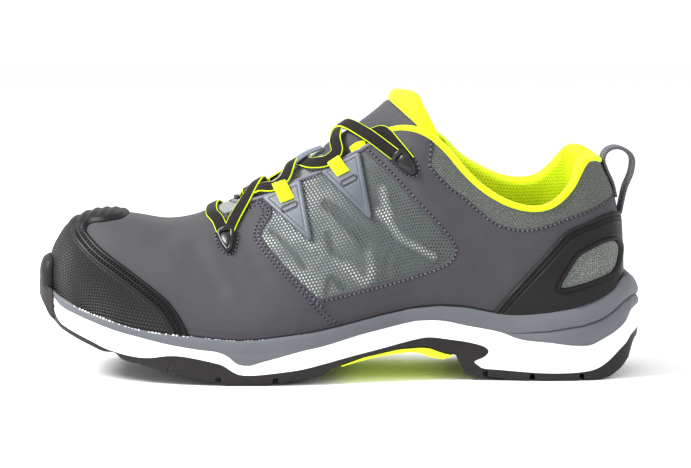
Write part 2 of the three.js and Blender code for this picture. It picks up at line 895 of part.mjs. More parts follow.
function makeLace(piece) {
  const strips = laceStrands.filter((row) => row.piece === piece).map((row) => {
    const from = new THREE.Vector2((row.fromX * ballWidth) / 2, alongLength(row.fromAt));
    const to = new THREE.Vector2((row.toX * ballWidth) / 2, alongLength(row.toAt));
    const side = to.clone().sub(from).normalize().multiplyScalar(laceWidth / 2);
    const corners = [
      [from.x - side.y, from.y + side.x],
      [from.x + side.y, from.y - side.x],
      [to.x + side.y, to.y - side.x],
      [to.x - side.y, to.y + side.x],
    ].map(([x, y]) => new THREE.Vector2(x, y));
    const strip = new THREE.ExtrudeGeometry(new THREE.Shape(corners), {
      depth: 2 * bodyHeight,
      bevelEnabled: false,
    });
    return solidFrom(strip);
  });
  const aboveSides = prism([
    { y: alongLength(0.25), z: bodyHeight * 0.55 },
    { y: alongLength(0.63), z: bodyHeight * 0.97 },
    { y: alongLength(0.63), z: bodyHeight * 2 },
    { y: alongLength(0.25), z: bodyHeight * 2 },
  ]);
  const joined = strips.reduce((a, b) => a.add(b)).intersect(aboveSides);
  const plates = lacePlates.map((rows) => prism(grownOutline(bodyOutline(rows), clearance)));
  return plates.reduce(
    (solid, plate) => solid.subtract(plate),
    layer(upperWall + clearance, laceThickness).intersect(joined),
  );
}

// Pull loop behind the collar, a bent strap across the heel
const pullPath = table("at up", [
  [0.9365, 1.05],
  [0.943, 1.09],
  [0.96, 1.118],
  [0.9775, 1.105],
  [0.989, 1.06],
  [0.99, 0.995],
  [0.979, 0.92],
  [0.9685, 0.86],
  [0.9652, 0.82],
]);

function makePullLoop() {
  const points = pullPath.map((row) => new THREE.Vector3(alongLength(row.at), row.up * bodyHeight, 0));
  const curve = new THREE.CatmullRomCurve3(points);
  const steps = 20;
  const side = (sign) =>
    Array.from({ length: steps + 1 }, (_, i) => {
      const p = curve.getPoint(i / steps);
      const t = curve.getTangent(i / steps);
      return {
        y: p.x - (sign * t.y * loopThickness) / 2,
        z: p.y + (sign * t.x * loopThickness) / 2,
      };
    });
  return prism([...side(1), ...side(-1).reverse()], -loopWidth / 2, loopWidth / 2);
}

// Assembly
const shoe = new THREE.Group();

function geometryOf(solid) {
  const mesh = solid.getMesh();
  const count = mesh.numProp;
  const positions = new Float32Array(mesh.numVert * 3);
  for (let i = 0; i < mesh.numVert; i += 1) {
    positions.set(mesh.vertProperties.subarray(i * count, i * count + 3), i * 3);
  }
  const geometry = new THREE.BufferGeometry();
  geometry.setAttribute("position", new THREE.BufferAttribute(positions, 3));
  geometry.setIndex(new THREE.BufferAttribute(mesh.triVerts, 1));
  return geometry;
}

// Only the largest body of a cut is the piece; slivers that a cut leaves are dropped.
function largest(solid) {
  const bodies = solid.decompose();
  return bodies.reduce((best, body) => (body.volume() > best.volume() ? body : best));
}

const facetMerge = 0.02; // slivers of a cut that are flatter than this are merged
function addPiece(name, solid, material) {
  const mesh = new THREE.Mesh(geometryOf(largest(solid).simplify(facetMerge)), material);
  mesh.name = name;
  shoe.add(mesh);
}

const finish = (color, roughness, metalness = 0) =>
  new THREE.MeshStandardMaterial({ color, roughness, metalness });
const blackRubber = finish(0x2b2b2c, 0.75);
const whiteFoam = finish(0xe9ebec, 0.6);
const greyFoam = finish(0x7b8287, 0.6);
const greyLeather = finish(0x68666b, 0.8);
const blackOverlay = finish(0x363436, 0.7);
const yellowFabric = finish(0xe6ff1a, 0.8);
const greyPlastic = finish(0x7b828c, 0.5);
const blackPlastic = finish(0x17171a, 0.35);
const webbing = finish(0x8a8a93, 0.85);

addPiece("outsole", makeOutsole(), blackRubber);
addPiece("midsole", makeMidsole(), whiteFoam);
addPiece("midsole_carrier", makeCarrier(), greyFoam);
addPiece("arch_plate", makeArchPlate(), yellowFabric);
addPiece("insole", makeInsole(), webbing);
addPiece("upper", makeUpper(), greyLeather);
addPiece("tongue", makeTongue(), greyLeather);
addPiece("collar_lining", makeCollarLining(), yellowFabric);
addPiece("toe_cap", makeToeCap(), blackOverlay);
addPiece("heel_counter", makeCounter(), blackOverlay);
addPiece("pull_loop", makePullLoop(), webbing);

const sides = { outer: 1, inner: -1 };
Object.entries(sides).forEach(([side, sign]) => {
  lacePlates.forEach((rows, i) => {
    addPiece("lace_plate_" + side + "_" + (i + 1), makeLacePlate(rows, sign), greyPlastic);
  });
  webbingLoops.forEach((row, i) => {
    addPiece("lace_loop_" + side + "_" + (i + 1), makeWebbingLoop(row, sign), yellowFabric);
  });
  laceRings.forEach((row, i) => {
    addPiece("lace_ring_" + side + "_" + (i + 1), makeLaceRing(row, sign), blackPlastic);
  });
});

[...new Set(laceStrands.map((row) => row.piece))].forEach((piece) => {
  addPiece(piece, makeLace(piece), blackOverlay);
});

export default shoe;
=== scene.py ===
import math

import bmesh
import bpy
import numpy as np
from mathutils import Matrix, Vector


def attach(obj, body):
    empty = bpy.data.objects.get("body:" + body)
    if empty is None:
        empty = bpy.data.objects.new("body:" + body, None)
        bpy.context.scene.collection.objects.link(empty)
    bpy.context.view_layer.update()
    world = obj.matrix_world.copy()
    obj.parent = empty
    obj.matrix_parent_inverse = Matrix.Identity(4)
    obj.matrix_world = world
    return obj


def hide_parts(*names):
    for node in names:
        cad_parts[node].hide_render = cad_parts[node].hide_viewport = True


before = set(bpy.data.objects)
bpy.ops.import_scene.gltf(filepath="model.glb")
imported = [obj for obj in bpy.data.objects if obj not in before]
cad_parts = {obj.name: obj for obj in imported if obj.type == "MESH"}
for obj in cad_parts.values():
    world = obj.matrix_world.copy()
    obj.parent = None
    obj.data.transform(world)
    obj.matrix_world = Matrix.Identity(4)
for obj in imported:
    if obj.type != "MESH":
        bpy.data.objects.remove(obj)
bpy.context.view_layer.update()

# Driving sizes of the shoe, in millimetres: toe towards -Y, outer side towards +X, up +Z
MM = 0.001
LENGTH = 300.0
BALL_WIDTH = 108.0
HEEL_WIDTH = 77.0
BODY_HEIGHT = 100.0
SOLE_HEIGHT = 36.0
UPPER_WALL = 2.2
OVERLAY_WALL = 1.6
PLATE_WALL = 1.3
TONGUE_WALL = 5.0
COLLAR_PAD = 6.0
INSOLE_THICKNESS = 3.2
BUMPER_WALL = 4.4
CLEARANCE = 0.3
RIM_MARGIN = 2.8
RIM_WIDTH = 6.5
TREAD_DEPTH = 3.2
TREAD_GROOVE = 5.0
OUTER, INNER = 1, -1


def table(names, *rows):
    """Rows with named columns, as one array for each column."""
    return dict(zip(names.split(), np.array(rows, dtype=float).T))


# Half of the sole's plan outline on each side, as shares of half the local width
PLAN = table(
    "at lateral medial",
    (0, -0.09, 0.09), (0.012, 0.22, 0.37), (0.045, 0.5, 0.62), (0.11, 0.74, 0.85),
    (0.2, 0.91, 0.975), (0.29, 0.985, 1), (0.37, 1, 0.965), (0.45, 0.96, 0.86),
    (0.54, 0.93, 0.78), (0.64, 0.95, 0.82), (0.74, 0.985, 0.93), (0.84, 1, 1),
    (0.915, 0.93, 0.93), (0.965, 0.7, 0.69), (0.99, 0.38, 0.36), (1, 0, 0),
)

# Sections of the last: foot and top are shares of LENGTH, rise of BODY_HEIGHT, mid and shoulder
# of the plan's half width at 0.5 and 0.8 of the height, lean of half BALL_WIDTH
LAST = table(
    "foot top rise mid shoulder lean",
    (0.104, 0.03, 0.34, 1, 0.98, -0.07), (0.107, 0.0275, 0.455, 1, 0.97, -0.07),
    (0.111, 0.029, 0.57, 1, 0.93, -0.07), (0.116, 0.04, 0.645, 0.99, 0.88, -0.07),
    (0.124, 0.057, 0.71, 0.98, 0.84, -0.07), (0.134, 0.081, 0.748, 0.97, 0.8, -0.08),
    (0.148, 0.112, 0.763, 0.96, 0.77, -0.09), (0.172, 0.154, 0.752, 0.94, 0.73, -0.1),
    (0.222, 0.213, 0.727, 0.92, 0.68, -0.12), (0.282, 0.272, 0.763, 0.87, 0.6, -0.13),
    (0.337, 0.333, 0.853, 0.82, 0.53, -0.12), (0.392, 0.392, 0.955, 0.79, 0.48, -0.1),
    (0.447, 0.453, 1.075, 0.78, 0.46, -0.08), (0.5, 0.507, 1.185, 0.78, 0.47, -0.06),
    (0.547, 0.55, 1.275, 0.78, 0.5, -0.04), (0.587, 0.583, 1.365, 0.79, 0.54, -0.03),
    (0.62, 0.605, 1.48, 0.81, 0.59, -0.02), (0.653, 0.627, 1.62, 0.84, 0.68, 0),
    (0.693, 0.673, 1.72, 0.86, 0.78, 0), (0.74, 0.733, 1.75, 0.86, 0.82, 0),
    (0.787, 0.807, 1.72, 0.84, 0.8, 0), (0.823, 0.867, 1.62, 0.82, 0.76, 0),
    (0.843, 0.895, 1.42, 0.83, 0.74, 0), (0.856, 0.912, 1.2, 0.86, 0.74, 0),
    (0.864, 0.93, 1.03, 0.9, 0.76, 0), (0.869, 0.948, 0.9, 0.94, 0.82, 0),
    (0.872, 0.957, 0.77, 0.97, 0.88, 0), (0.8745, 0.9605, 0.64, 0.99, 0.93, 0),
    (0.877, 0.962, 0.5, 1, 0.97, 0), (0.88, 0.961, 0.37, 1, 0.99, 0),
)

# Side lines of the sole from toe to heel: at is a share of LENGTH, up of SOLE_HEIGHT
GROUND = table(
    "at up",
    (-0.03, 1.12), (0, 1.07), (0.012, 0.95), (0.024, 0.79), (0.043, 0.66), (0.073, 0.545),
    (0.1, 0.455), (0.117, 0.4), (0.137, 0.395), (0.15, 0.305), (0.19, 0.235), (0.223, 0.155),
    (0.267, 0.08), (0.31, 0.02), (0.325, 0), (0.388, 0), (0.415, 0.035), (0.473, 0.11),
    (0.483, 0.15), (0.487, 0.2), (0.54, 0.345), (0.597, 0.44), (0.643, 0.457), (0.67, 0.37),
    (0.69, 0.34), (0.667, 0.262), (0.68, 0.155), (0.705, 0.09), (0.735, 0.045), (0.785, 0),
    (0.927, 0), (0.945, 0.036), (0.963, 0.125), (0.977, 0.25), (0.983, 0.375), (0.99, 0.48),
    (1.03, 0.6),
)
TREAD_TOP = table(
    "at up",
    (-0.03, 1.22), (0, 1.16), (0.027, 1.05), (0.033, 0.88), (0.043, 0.75), (0.06, 0.67),
    (0.1, 0.53), (0.127, 0.435), (0.153, 0.385), (0.18, 0.355), (0.2, 0.36), (0.22, 0.385),
    (0.24, 0.39), (0.263, 0.367), (0.3, 0.305), (0.313, 0.275), (0.337, 0.16), (0.357, 0.14),
    (0.407, 0.175), (0.44, 0.21), (0.473, 0.272), (0.533, 0.39), (0.56, 0.44), (0.633, 0.585),
    (0.647, 0.595), (0.673, 0.57), (0.713, 0.515), (0.737, 0.455), (0.743, 0.4), (0.737, 0.33),
    (0.72, 0.255), (0.727, 0.2), (0.733, 0.167), (0.763, 0.142), (0.84, 0.1), (0.893, 0.11),
    (0.92, 0.15), (0.94, 0.247), (0.957, 0.37), (0.973, 0.48), (0.983, 0.578), (1.03, 0.7),
)
FOAM_TOP = table(
    "at up",
    (-0.03, 1.28), (0, 1.22), (0.027, 1.1), (0.047, 0.965), (0.073, 0.883), (0.107, 0.786),
    (0.14, 0.703), (0.177, 0.633), (0.227, 0.544), (0.277, 0.48), (0.3, 0.461), (0.313, 0.433),
    (0.323, 0.389), (0.337, 0.294), (0.357, 0.272), (0.373, 0.308), (0.44, 0.458),
    (0.477, 0.522), (0.533, 0.653), (0.563, 0.711), (0.62, 0.814), (0.637, 0.825),
    (0.667, 0.819), (0.703, 0.758), (0.763, 0.658), (0.793, 0.567), (0.843, 0.517),
    (0.88, 0.472), (0.91, 0.475), (0.927, 0.533), (0.957, 0.661), (0.973, 0.769),
    (0.983, 0.911), (1.03, 1),
)
BITE = table(
    "at up",
    (-0.03, 1.34), (0, 1.28), (0.027, 1.16), (0.057, 1.045), (0.087, 0.947), (0.127, 0.85),
    (0.167, 0.753), (0.2, 0.706), (0.25, 0.664), (0.3, 0.614), (0.353, 0.594), (0.407, 0.642),
    (0.457, 0.692), (0.51, 0.781), (0.56, 0.881), (0.617, 0.978), (0.663, 1.008),
    (0.707, 0.983), (0.753, 0.908), (0.787, 0.883), (0.84, 0.919), (0.897, 1.019),
    (0.927, 1.12), (0.95, 1.25), (0.965, 1.355), (0.98, 1.385), (0.99, 1.31), (1.03, 1.1),
)
FOOTBED = table(
    "at up",
    (-0.03, 1.08), (0.03, 1.06), (0.06, 0.98), (0.1, 0.88), (0.16, 0.74), (0.25, 0.58),
    (0.36, 0.52), (0.46, 0.57), (0.55, 0.77), (0.62, 0.89), (0.68, 0.89), (0.76, 0.76),
    (0.85, 0.7), (0.95, 0.78), (1.03, 1.1),
)
ARCH_PLATE = table(
    "at up",
    (0.684, 0.322), (0.668, 0.285), (0.648, 0.316), (0.633, 0.37), (0.613, 0.39),
    (0.56, 0.338), (0.532, 0.285), (0.504, 0.225),
)
TREAD_GROOVES = (0.228, 0.306, 0.398, 0.738, 0.814, 0.895)
SOLE_PROFILE = table(
    "up out heel_out",
    (-0.12, -3, 2), (0.05, -1.2, 1.2), (0.25, 0, 0.4), (0.46, -0.6, -0.6), (0.53, -0.9, 0.4),
    (0.62, -0.5, 1), (0.7, -0.6, 0.4), (0.725, -0.7, -1.8), (0.75, -0.6, 0.3), (0.84, -0.6, 0.8),
    (0.94, -1, 0.2), (1, -2, -0.4),
)

# Edge of the throat and collar, with the heights on the two sides
COLLAR = table(
    "at outer inner",
    (0.313, 0.84, 0.84), (0.335, 0.84, 0.845), (0.365, 0.858, 0.864), (0.39, 0.887, 0.893),
    (0.425, 0.943, 0.95), (0.478, 1.012, 1.02), (0.52, 1.085, 1.09), (0.55, 1.135, 1.14),
    (0.583, 1.205, 1.21), (0.615, 1.222, 1.227), (0.638, 1.205, 1.215), (0.66, 1.163, 1.178),
    (0.68, 1.105, 1.13), (0.703, 1.02, 1.06), (0.735, 0.93, 1.0), (0.775, 0.86, 0.945),
    (0.813, 0.832, 0.93), (0.84, 0.842, 0.95), (0.863, 0.888, 1.01), (0.88, 0.95, 1.07),
    (0.89, 1.02, 1.1), (0.9, 1.068, 1.105), (0.915, 1.07, 1.085), (0.93, 1.048, 1.05),
    (0.96, 1.02, 1.02),
)

# Side outlines of the overlays, as shares of LENGTH and BODY_HEIGHT
TOE_CAP = table(
    "at up",
    (-0.05, 0.1), (0.259, 0.1), (0.259, 0.233), (0.2485, 0.304), (0.228, 0.384), (0.2, 0.45),
    (0.161, 0.529), (0.121, 0.61), (0.098, 0.665), (0.087, 0.7), (0.09, 0.722), (0.117, 0.735),
    (0.147, 0.76), (0.15, 0.9), (-0.05, 0.9),
)
COUNTER = table(
    "at up",
    (1.1, 0.2), (0.73, 0.2), (0.752, 0.334), (0.827, 0.588), (0.852, 0.673), (0.866, 0.716),
    (0.903, 0.766), (0.94, 0.805), (0.972, 0.785), (1.1, 0.78),
)
COUNTER_WINDOW = table(
    "at up",
    (0.942, 0.69), (0.9575, 0.64), (0.949, 0.528), (0.939, 0.496), (0.862, 0.427),
    (0.851, 0.44), (0.851, 0.455), (0.88, 0.599), (0.893, 0.63),
)
TONGUE = table(
    "at up",
    (0.273, 0.66), (0.273, 1.395), (0.62, 1.395), (0.6285, 1.365), (0.647, 1.27),
    (0.663, 1.17), (0.653, 1.07), (0.6, 1), (0.533, 0.95), (0.467, 0.87), (0.387, 0.77),
    (0.317, 0.665),
)


# Curves and lines
def along_length(share):
    return (np.asarray(share) - 0.5) * LENGTH


def smooth_step(low, high, value):
    s = np.clip((np.asarray(value) - low) / (high - low), 0, 1)
    return s * s * (3 - 2 * s)


def spline(points, steps, closed=False):
    """Centripetal curve through the points, with so many steps between two of them."""
    p = np.asarray(points, dtype=float)
    if closed:
        p = np.concatenate([p[-1:], p, p[:2]])
    else:
        p = np.concatenate([2 * p[:1] - p[1:2], p, 2 * p[-1:] - p[-2:-1]])
    p0, p1, p2, p3 = p[:-3], p[1:-2], p[2:-1], p[3:]

    def knot(a, b):
        gap = np.sqrt(np.linalg.norm(b - a, axis=-1, keepdims=True))
        return np.maximum(gap, 1e-3)

    d0, d1, d2 = knot(p0, p1), knot(p1, p2), knot(p2, p3)
    t1 = ((p1 - p0) / d0 - (p2 - p0) / (d0 + d1) + (p2 - p1) / d1) * d1
    t2 = ((p2 - p1) / d1 - (p3 - p1) / (d1 + d2) + (p3 - p2) / d2) * d1
    w = (np.arange(steps) / steps).reshape((1, steps) + (1,) * (p.ndim - 1))
    c0, c1 = p1[:, None], t1[:, None]
    c2 = (-3 * p1 + 3 * p2 - 2 * t1 - t2)[:, None]
    c3 = (2 * p1 - 2 * p2 + t1 + t2)[:, None]
    curve = (c0 + w * (c1 + w * (c2 + w * c3))).reshape((-1,) + p.shape[1:])
    return curve if closed else np.concatenate([curve, p[-2:-1]])


def line_of(rows):
    """The side line of a table as points (y, z)."""
    return np.stack([along_length(rows["at"]), rows["up"] * SOLE_HEIGHT], axis=1)


def height_at(rows, y):
    """Height of a side line at y. Where it turns back, only its forward stretches count."""
    at, up = rows["at"], rows["up"]
    forward = np.concatenate([[True], at[1:] > np.maximum.accumulate(at)[:-1]])
    return np.maximum(np.interp(y, along_length(at[forward]), up[forward] * SOLE_HEIGHT), 0)


# Sole outline
def plan_contour(steps=12):
    half = BALL_WIDTH + (HEEL_WIDTH - BALL_WIDTH) * smooth_step(0.42, 0.72, PLAN["at"])
    y = along_length(PLAN["at"])
    outer = np.stack([PLAN["lateral"] * half / 2, y], axis=1)
    inner = np.stack([-PLAN["medial"] * half / 2, y], axis=1)[1:-1]
    return spline(np.concatenate([outer, inner[::-1]]), steps, closed=True)


def contour_normals(points):
    along = np.roll(points, -1, axis=0) - np.roll(points, 1, axis=0)
    along /= np.linalg.norm(along, axis=1, keepdims=True)
    return np.stack([along[:, 1], -along[:, 0]], axis=1)


contour = plan_contour()
contour_out = contour_normals(contour)


def moved_contour(distance):
    return contour + contour_out * distance


# The last
SECTION_HEIGHTS = np.array([0, 0.2, 0.5, 0.8, 0.967])
FOOT_SHARE = 0.95
CROWN_SHARE = 0.55
FOOT_DROP = 8.0
ROW_STEPS = 8
AROUND_STEPS = 20


def last_half(y, side):
    """Half width of the last's plan at y."""
    inset = moved_contour(-RIM_MARGIN - UPPER_WALL)
    half = len(inset) // 2
    edge = inset[:half + 1] if side == OUTER else np.roll(inset[::-1], 1, axis=0)[:half + 1]
    return np.abs(np.interp(y, edge[:, 1], edge[:, 0], left=0))


def last_grid():
    """Points of the last: one row for each section, from the outer foot over the crown."""
    rows = []
    for foot, top, rise, mid, shoulder, lean in zip(*LAST.values()):
        foot_y, top_y = along_length(foot), along_length(top)
        foot_z = height_at(BITE, foot_y) - FOOT_DROP
        top_z = rise * BODY_HEIGHT
        ridge = lean * BALL_WIDTH / 2
        up = SECTION_HEIGHTS
        share = np.array([FOOT_SHARE, 1, mid, shoulder, shoulder * CROWN_SHARE])
        y = foot_y + (top_y - foot_y) * up
        z = foot_z + (top_z - foot_z) * up
        side = [
            np.stack([ridge * up**2 + sign * share * last_half(y, sign), y, z], axis=1)
            for sign in (OUTER, INNER)
        ]
        crown = [[ridge, top_y, top_z]]
        rows.append(spline(np.concatenate([side[0], crown, side[1][::-1]]), AROUND_STEPS))
    return spline(np.array(rows), ROW_STEPS)


def grid_normals(grid):
    along = np.gradient(grid, axis=0)
    around = np.gradient(grid, axis=1)
    normal = np.cross(around, along)
    return normal / np.maximum(np.linalg.norm(normal, axis=2, keepdims=True), 1e-9)


last = last_grid()
last_out = grid_normals(last)
CROWN = (last.shape[1] - 1) // 2
if last_out[len(last) // 2, CROWN, 2] < 0:
    last_out = -last_out


def surface_millimetres():
    """Distances over the last: along it from the toe, and up from the foot of each side."""
    steps = np.linalg.norm(np.diff(last, axis=1), axis=2)
    outer = np.cumsum(np.pad(steps, ((0, 0), (1, 0))), axis=1)
    inner = np.cumsum(np.pad(steps, ((0, 0), (0, 1)))[:, ::-1], axis=1)[:, ::-1]
    up = np.minimum(outer, inner)
    middle = last[:, (last.shape[1] - 1) // 4]
    gaps = np.linalg.norm(np.diff(middle, axis=0), axis=1)
    along = np.concatenate([[0], np.cumsum(gaps)])
    return np.stack(np.broadcast_arrays(along[:, None], up), axis=2)


last_uv = surface_millimetres()


def grid_triangles(rows, columns):
    corner = (np.arange(rows - 1)[:, None] * columns + np.arange(columns - 1)).ravel()
    a, b, c, d = corner, corner + 1, corner + columns + 1, corner + columns
    return np.concatenate([np.stack([a, b, c], 1), np.stack([a, c, d], 1)])


STORED = 9


class Surface:
    """A stretch of the last's surface, resampled, whose triangles scalar fields can cut."""

    def __init__(self, rows=(0, 1), around=(0, 1), density=(1.0, 0.5)):
        count_s = int((rows[1] - rows[0]) * (len(last) - 1) * density[0]) + 2
        count_a = int((around[1] - around[0]) * (last.shape[1] - 1) * density[1]) + 2
        s = np.linspace(rows[0], rows[1], count_s) * (len(last) - 1)
        a = np.linspace(around[0], around[1], count_a) * (last.shape[1] - 1)
        data = np.concatenate([last, last_out, last_uv], axis=2)
        data = sample(data, s, a).reshape(-1, 8)
        side = np.where(np.tile(a, count_s) <= CROWN, OUTER, INNER)
        self.data = np.column_stack([data, side])
        self.triangles = grid_triangles(count_s, count_a)

    @property
    def points(self):
        return self.data[:, :3]

    @property
    def normals(self):
        normal = self.data[:, 3:6]
        return normal / np.linalg.norm(normal, axis=1, keepdims=True)

    @property
    def uv(self):
        return self.data[:, 6:8]

    @property
    def side(self):
        return np.where(self.data[:, 8] > 0, OUTER, INNER)

    @property
    def view(self):
        return self.data[:, 1:3]

    def crossings(self, field, level):
        """New points where the triangles' edges meet a level, and the triangles they split."""
        above = field > level
        state = above[self.triangles].sum(axis=1)
        crossed = (state > 0) & (state < 3)
        mixed = self.triangles[crossed]
        odd = np.where((state[crossed] == 1)[:, None], above[mixed], ~above[mixed])
        turn = (odd.argmax(axis=1)[:, None] + np.arange(3)) % 3
        mixed = np.take_along_axis(mixed, turn, axis=1)
        edges = np.sort(np.concatenate([mixed[:, [0, 1]], mixed[:, [0, 2]]]), axis=1)
        unique, inverse = np.unique(edges, axis=0, return_inverse=True)
        i, j = unique.T
        share = ((level - field[i]) / (field[j] - field[i]))[:, None]
        data = self.data[i] + share * (self.data[j] - self.data[i])
        ends = inverse.reshape(2, -1).T
        return state, mixed, above[mixed[:, 0]], data, ends

    def cut(self, field, level=0.0, keep_both=False):
        """Split the triangles at a level of the field, and drop what lies below it."""
        state, mixed, tip_above, data, ends = self.crossings(field, level)
        ends = ends + len(self.data)
        tip = np.column_stack([mixed[:, 0], ends])
        base = np.concatenate([
            np.column_stack([ends[:, 0], mixed[:, 1], mixed[:, 2]]),
            np.column_stack([ends[:, 0], mixed[:, 2], ends[:, 1]]),
        ])
        twice = np.tile(tip_above, 2)
        parts = [self.triangles[state == 3], tip[tip_above], base[~twice]]
        if keep_both:
            parts += [self.triangles[state == 0], tip[~tip_above], base[twice]]
        self.triangles = np.concatenate(parts)
        self.data = np.concatenate([self.data, data])
        return np.concatenate([field, np.full(len(data), level)])

    def split(self, field, levels):
        """Drop what lies below 0, which is the first level, and split the rest at the others."""
        for level in levels:
            field = self.cut(field, level, keep_both=level > 0)
        return field

    def trim(self, field, levels=(0,)):
        """Split, drop the points that no triangle uses, and return the field of the others."""
        field = self.split(field, levels)
        used, inverse = np.unique(self.triangles, return_inverse=True)
        self.triangles = inverse.reshape(-1, 3)
        self.data = self.data[used]
        return field[used]

    def store(self, *fields):
        """Hold fields beside the points, so that later cuts carry them along."""
        self.data = np.column_stack([self.data, *fields])

    def stored(self, index):
        return self.data[:, STORED + index]


def isolines(surface, field, level=0.0):
    """The lines of a level of the field, as chains of points with their normals."""
    _, _, _, data, ends = surface.crossings(field, level)
    links = {}
    for a, b in ends.tolist():
        links.setdefault(a, []).append(b)
        links.setdefault(b, []).append(a)
    chains = []
    seen = set()
    starts = [k for k, v in links.items() if len(v) == 1] + list(links)
    for start in starts:
        if start in seen:
            continue
        chain = [start]
        seen.add(start)
        while True:
            following = [k for k in links[chain[-1]] if k not in seen]
            if not following:
                break
            chain.append(following[0])
            seen.add(following[0])
        if start in links[chain[-1]] and len(chain) > 2:
            chain.append(start)
        if len(chain) > 3:
            chains.append(data[chain][:, [0, 1, 2, 3, 4, 5, 8]])
    return chains


def resample(chain, spacing):
    """A chain with evenly spaced points, a little smoothed."""
    gaps = np.linalg.norm(np.diff(chain[:, :3], axis=0), axis=1)
    along = np.concatenate([[0], np.cumsum(gaps)])
    count = max(2, int(round(along[-1] / spacing)) + 1)
    even = np.linspace(0, along[-1], count)
    chain = np.stack([np.interp(even, along, column) for column in chain.T], axis=1)
    for _ in range(2):
        chain[1:-1] = (chain[:-2] + 2 * chain[1:-1] + chain[2:]) / 4
    return chain


def sample(grid, s, a):
    """Values of a grid at fractional rows and columns."""
    s0 = np.clip(s.astype(int), 0, grid.shape[0] - 2)
    a0 = np.clip(a.astype(int), 0, grid.shape[1] - 2)
    fs = (s - s0)[:, None, None]
    fa = (a - a0)[None, :, None]
    near = grid[s0][:, a0] * (1 - fs) + grid[s0 + 1][:, a0] * fs
    far = grid[s0][:, a0 + 1] * (1 - fs) + grid[s0 + 1][:, a0 + 1] * fs
    return near * (1 - fa) + far * fa


def distance_inside(points, outline):
    """Distance of (y, z) points to a closed outline, positive inside."""
    best = np.full(len(points), 1e9)
    inside = np.zeros(len(points), dtype=bool)
    for (ay, az), (by, bz) in zip(outline, np.roll(outline, -1, axis=0)):
        ey, ez = by - ay, bz - az
        dy, dz = points[:, 0] - ay, points[:, 1] - az
        t = np.clip((dy * ey + dz * ez) / max(ey * ey + ez * ez, 1e-9), 0, 1)
        best = np.minimum(best, (dy - t * ey) ** 2 + (dz - t * ez) ** 2)
        crosses = (az > points[:, 1]) != (bz > points[:, 1])
        if ez:
            inside ^= crosses & (dy < ey * dz / ez)
    return np.where(inside, 1, -1) * np.sqrt(best)


def distance_to_line(points, line):
    """Distance of (y, z) points to an open line."""
    best = np.full(len(points), 1e9)
    for (ay, az), (by, bz) in zip(line[:-1], line[1:]):
        ey, ez = by - ay, bz - az
        dy, dz = points[:, 0] - ay, points[:, 1] - az
        t = np.clip((dy * ey + dz * ez) / max(ey * ey + ez * ez, 1e-9), 0, 1)
        best = np.minimum(best, np.hypot(dy - t * ey, dz - t * ez))
    return best


def on_last(y, z, side):
    """Point and normal of the last at a place of the side view."""
    half = slice(0, CROWN + 1) if side == OUTER else slice(CROWN, None)
    grid, out = last[:, half], last_out[:, half]
    gap = (grid[..., 1] - y) ** 2 + (grid[..., 2] - z) ** 2
    i, j = np.unravel_index(gap.argmin(), gap.shape)
    point, normal = grid[i, j], out[i, j]
    slope = np.array([0, y - point[1], z - point[2]])
    if abs(normal[0]) > 0.2:
        slope[0] = -(normal[1] * slope[1] + normal[2] * slope[2]) / normal[0]
    return point + slope, normal


def from_above(x, y):
    """Point and normal of the last's top at a place seen from above."""
    rows = slice(int(len(last) * 0.15), int(len(last) * 0.75))
    columns = slice(last.shape[1] // 5, last.shape[1] * 4 // 5)
    grid, out = last[rows, columns], last_out[rows, columns]
    gap = (grid[..., 0] - x) ** 2 + (grid[..., 1] - y) ** 2
    i, j = np.unravel_index(gap.argmin(), gap.shape)
    point, normal = grid[i, j], out[i, j]
    slope = np.array([x - point[0], y - point[1], 0])
    if abs(normal[2]) > 0.2:
        slope[2] = -(normal[0] * slope[0] + normal[1] * slope[1]) / normal[2]
    return point + slope, normal


# Meshes
def make_object(name, points, faces, body="root", uv=None, layers=None):
    """A mesh object in metres. uv and layers hold a value for each point."""
    mesh = bpy.data.meshes.new(name)
    mesh.from_pydata((np.asarray(points) * MM).tolist(), [], [tuple(map(int, f)) for f in faces])
    mesh.update()
    corners = np.empty(len(mesh.loops), dtype=int)
    mesh.loops.foreach_get("vertex_index", corners)
    if uv is not None:
        layer = mesh.uv_layers.new(name="millimetres")
        layer.data.foreach_set("uv", np.asarray(uv, dtype=float)[corners].ravel())
    for label, values in (layers or {}).items():
        attribute = mesh.attributes.new(label, "FLOAT", "POINT")
        attribute.data.foreach_set("value", np.asarray(values, dtype=float))
    obj = bpy.data.objects.new(name, mesh)
    bpy.context.scene.collection.objects.link(obj)
    if body:
        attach(obj, body)
    return obj


def shade(obj, angle=35):
    mesh = obj.data
    mesh.polygons.foreach_set("use_smooth", [True] * len(mesh.polygons))
    mesh.set_sharp_from_angle(angle=math.radians(angle))
    mesh.update()


def fix_facing(obj):
    bm = bmesh.new()
    bm.from_mesh(obj.data)
    bmesh.ops.recalc_face_normals(bm, faces=bm.faces)
    if bm.calc_volume(signed=True) < 0:
        bmesh.ops.reverse_faces(bm, faces=bm.faces)
    bm.to_mesh(obj.data)
    bm.free()


def boundary_edges(triangles):
    """Directed edges that only one triangle uses."""
    edges = np.concatenate([triangles[:, [0, 1]], triangles[:, [1, 2]], triangles[:, [2, 0]]])
    _, index, count = np.unique(
        np.sort(edges, axis=1), axis=0, return_index=True, return_counts=True
    )
    return edges[index[count == 1]]


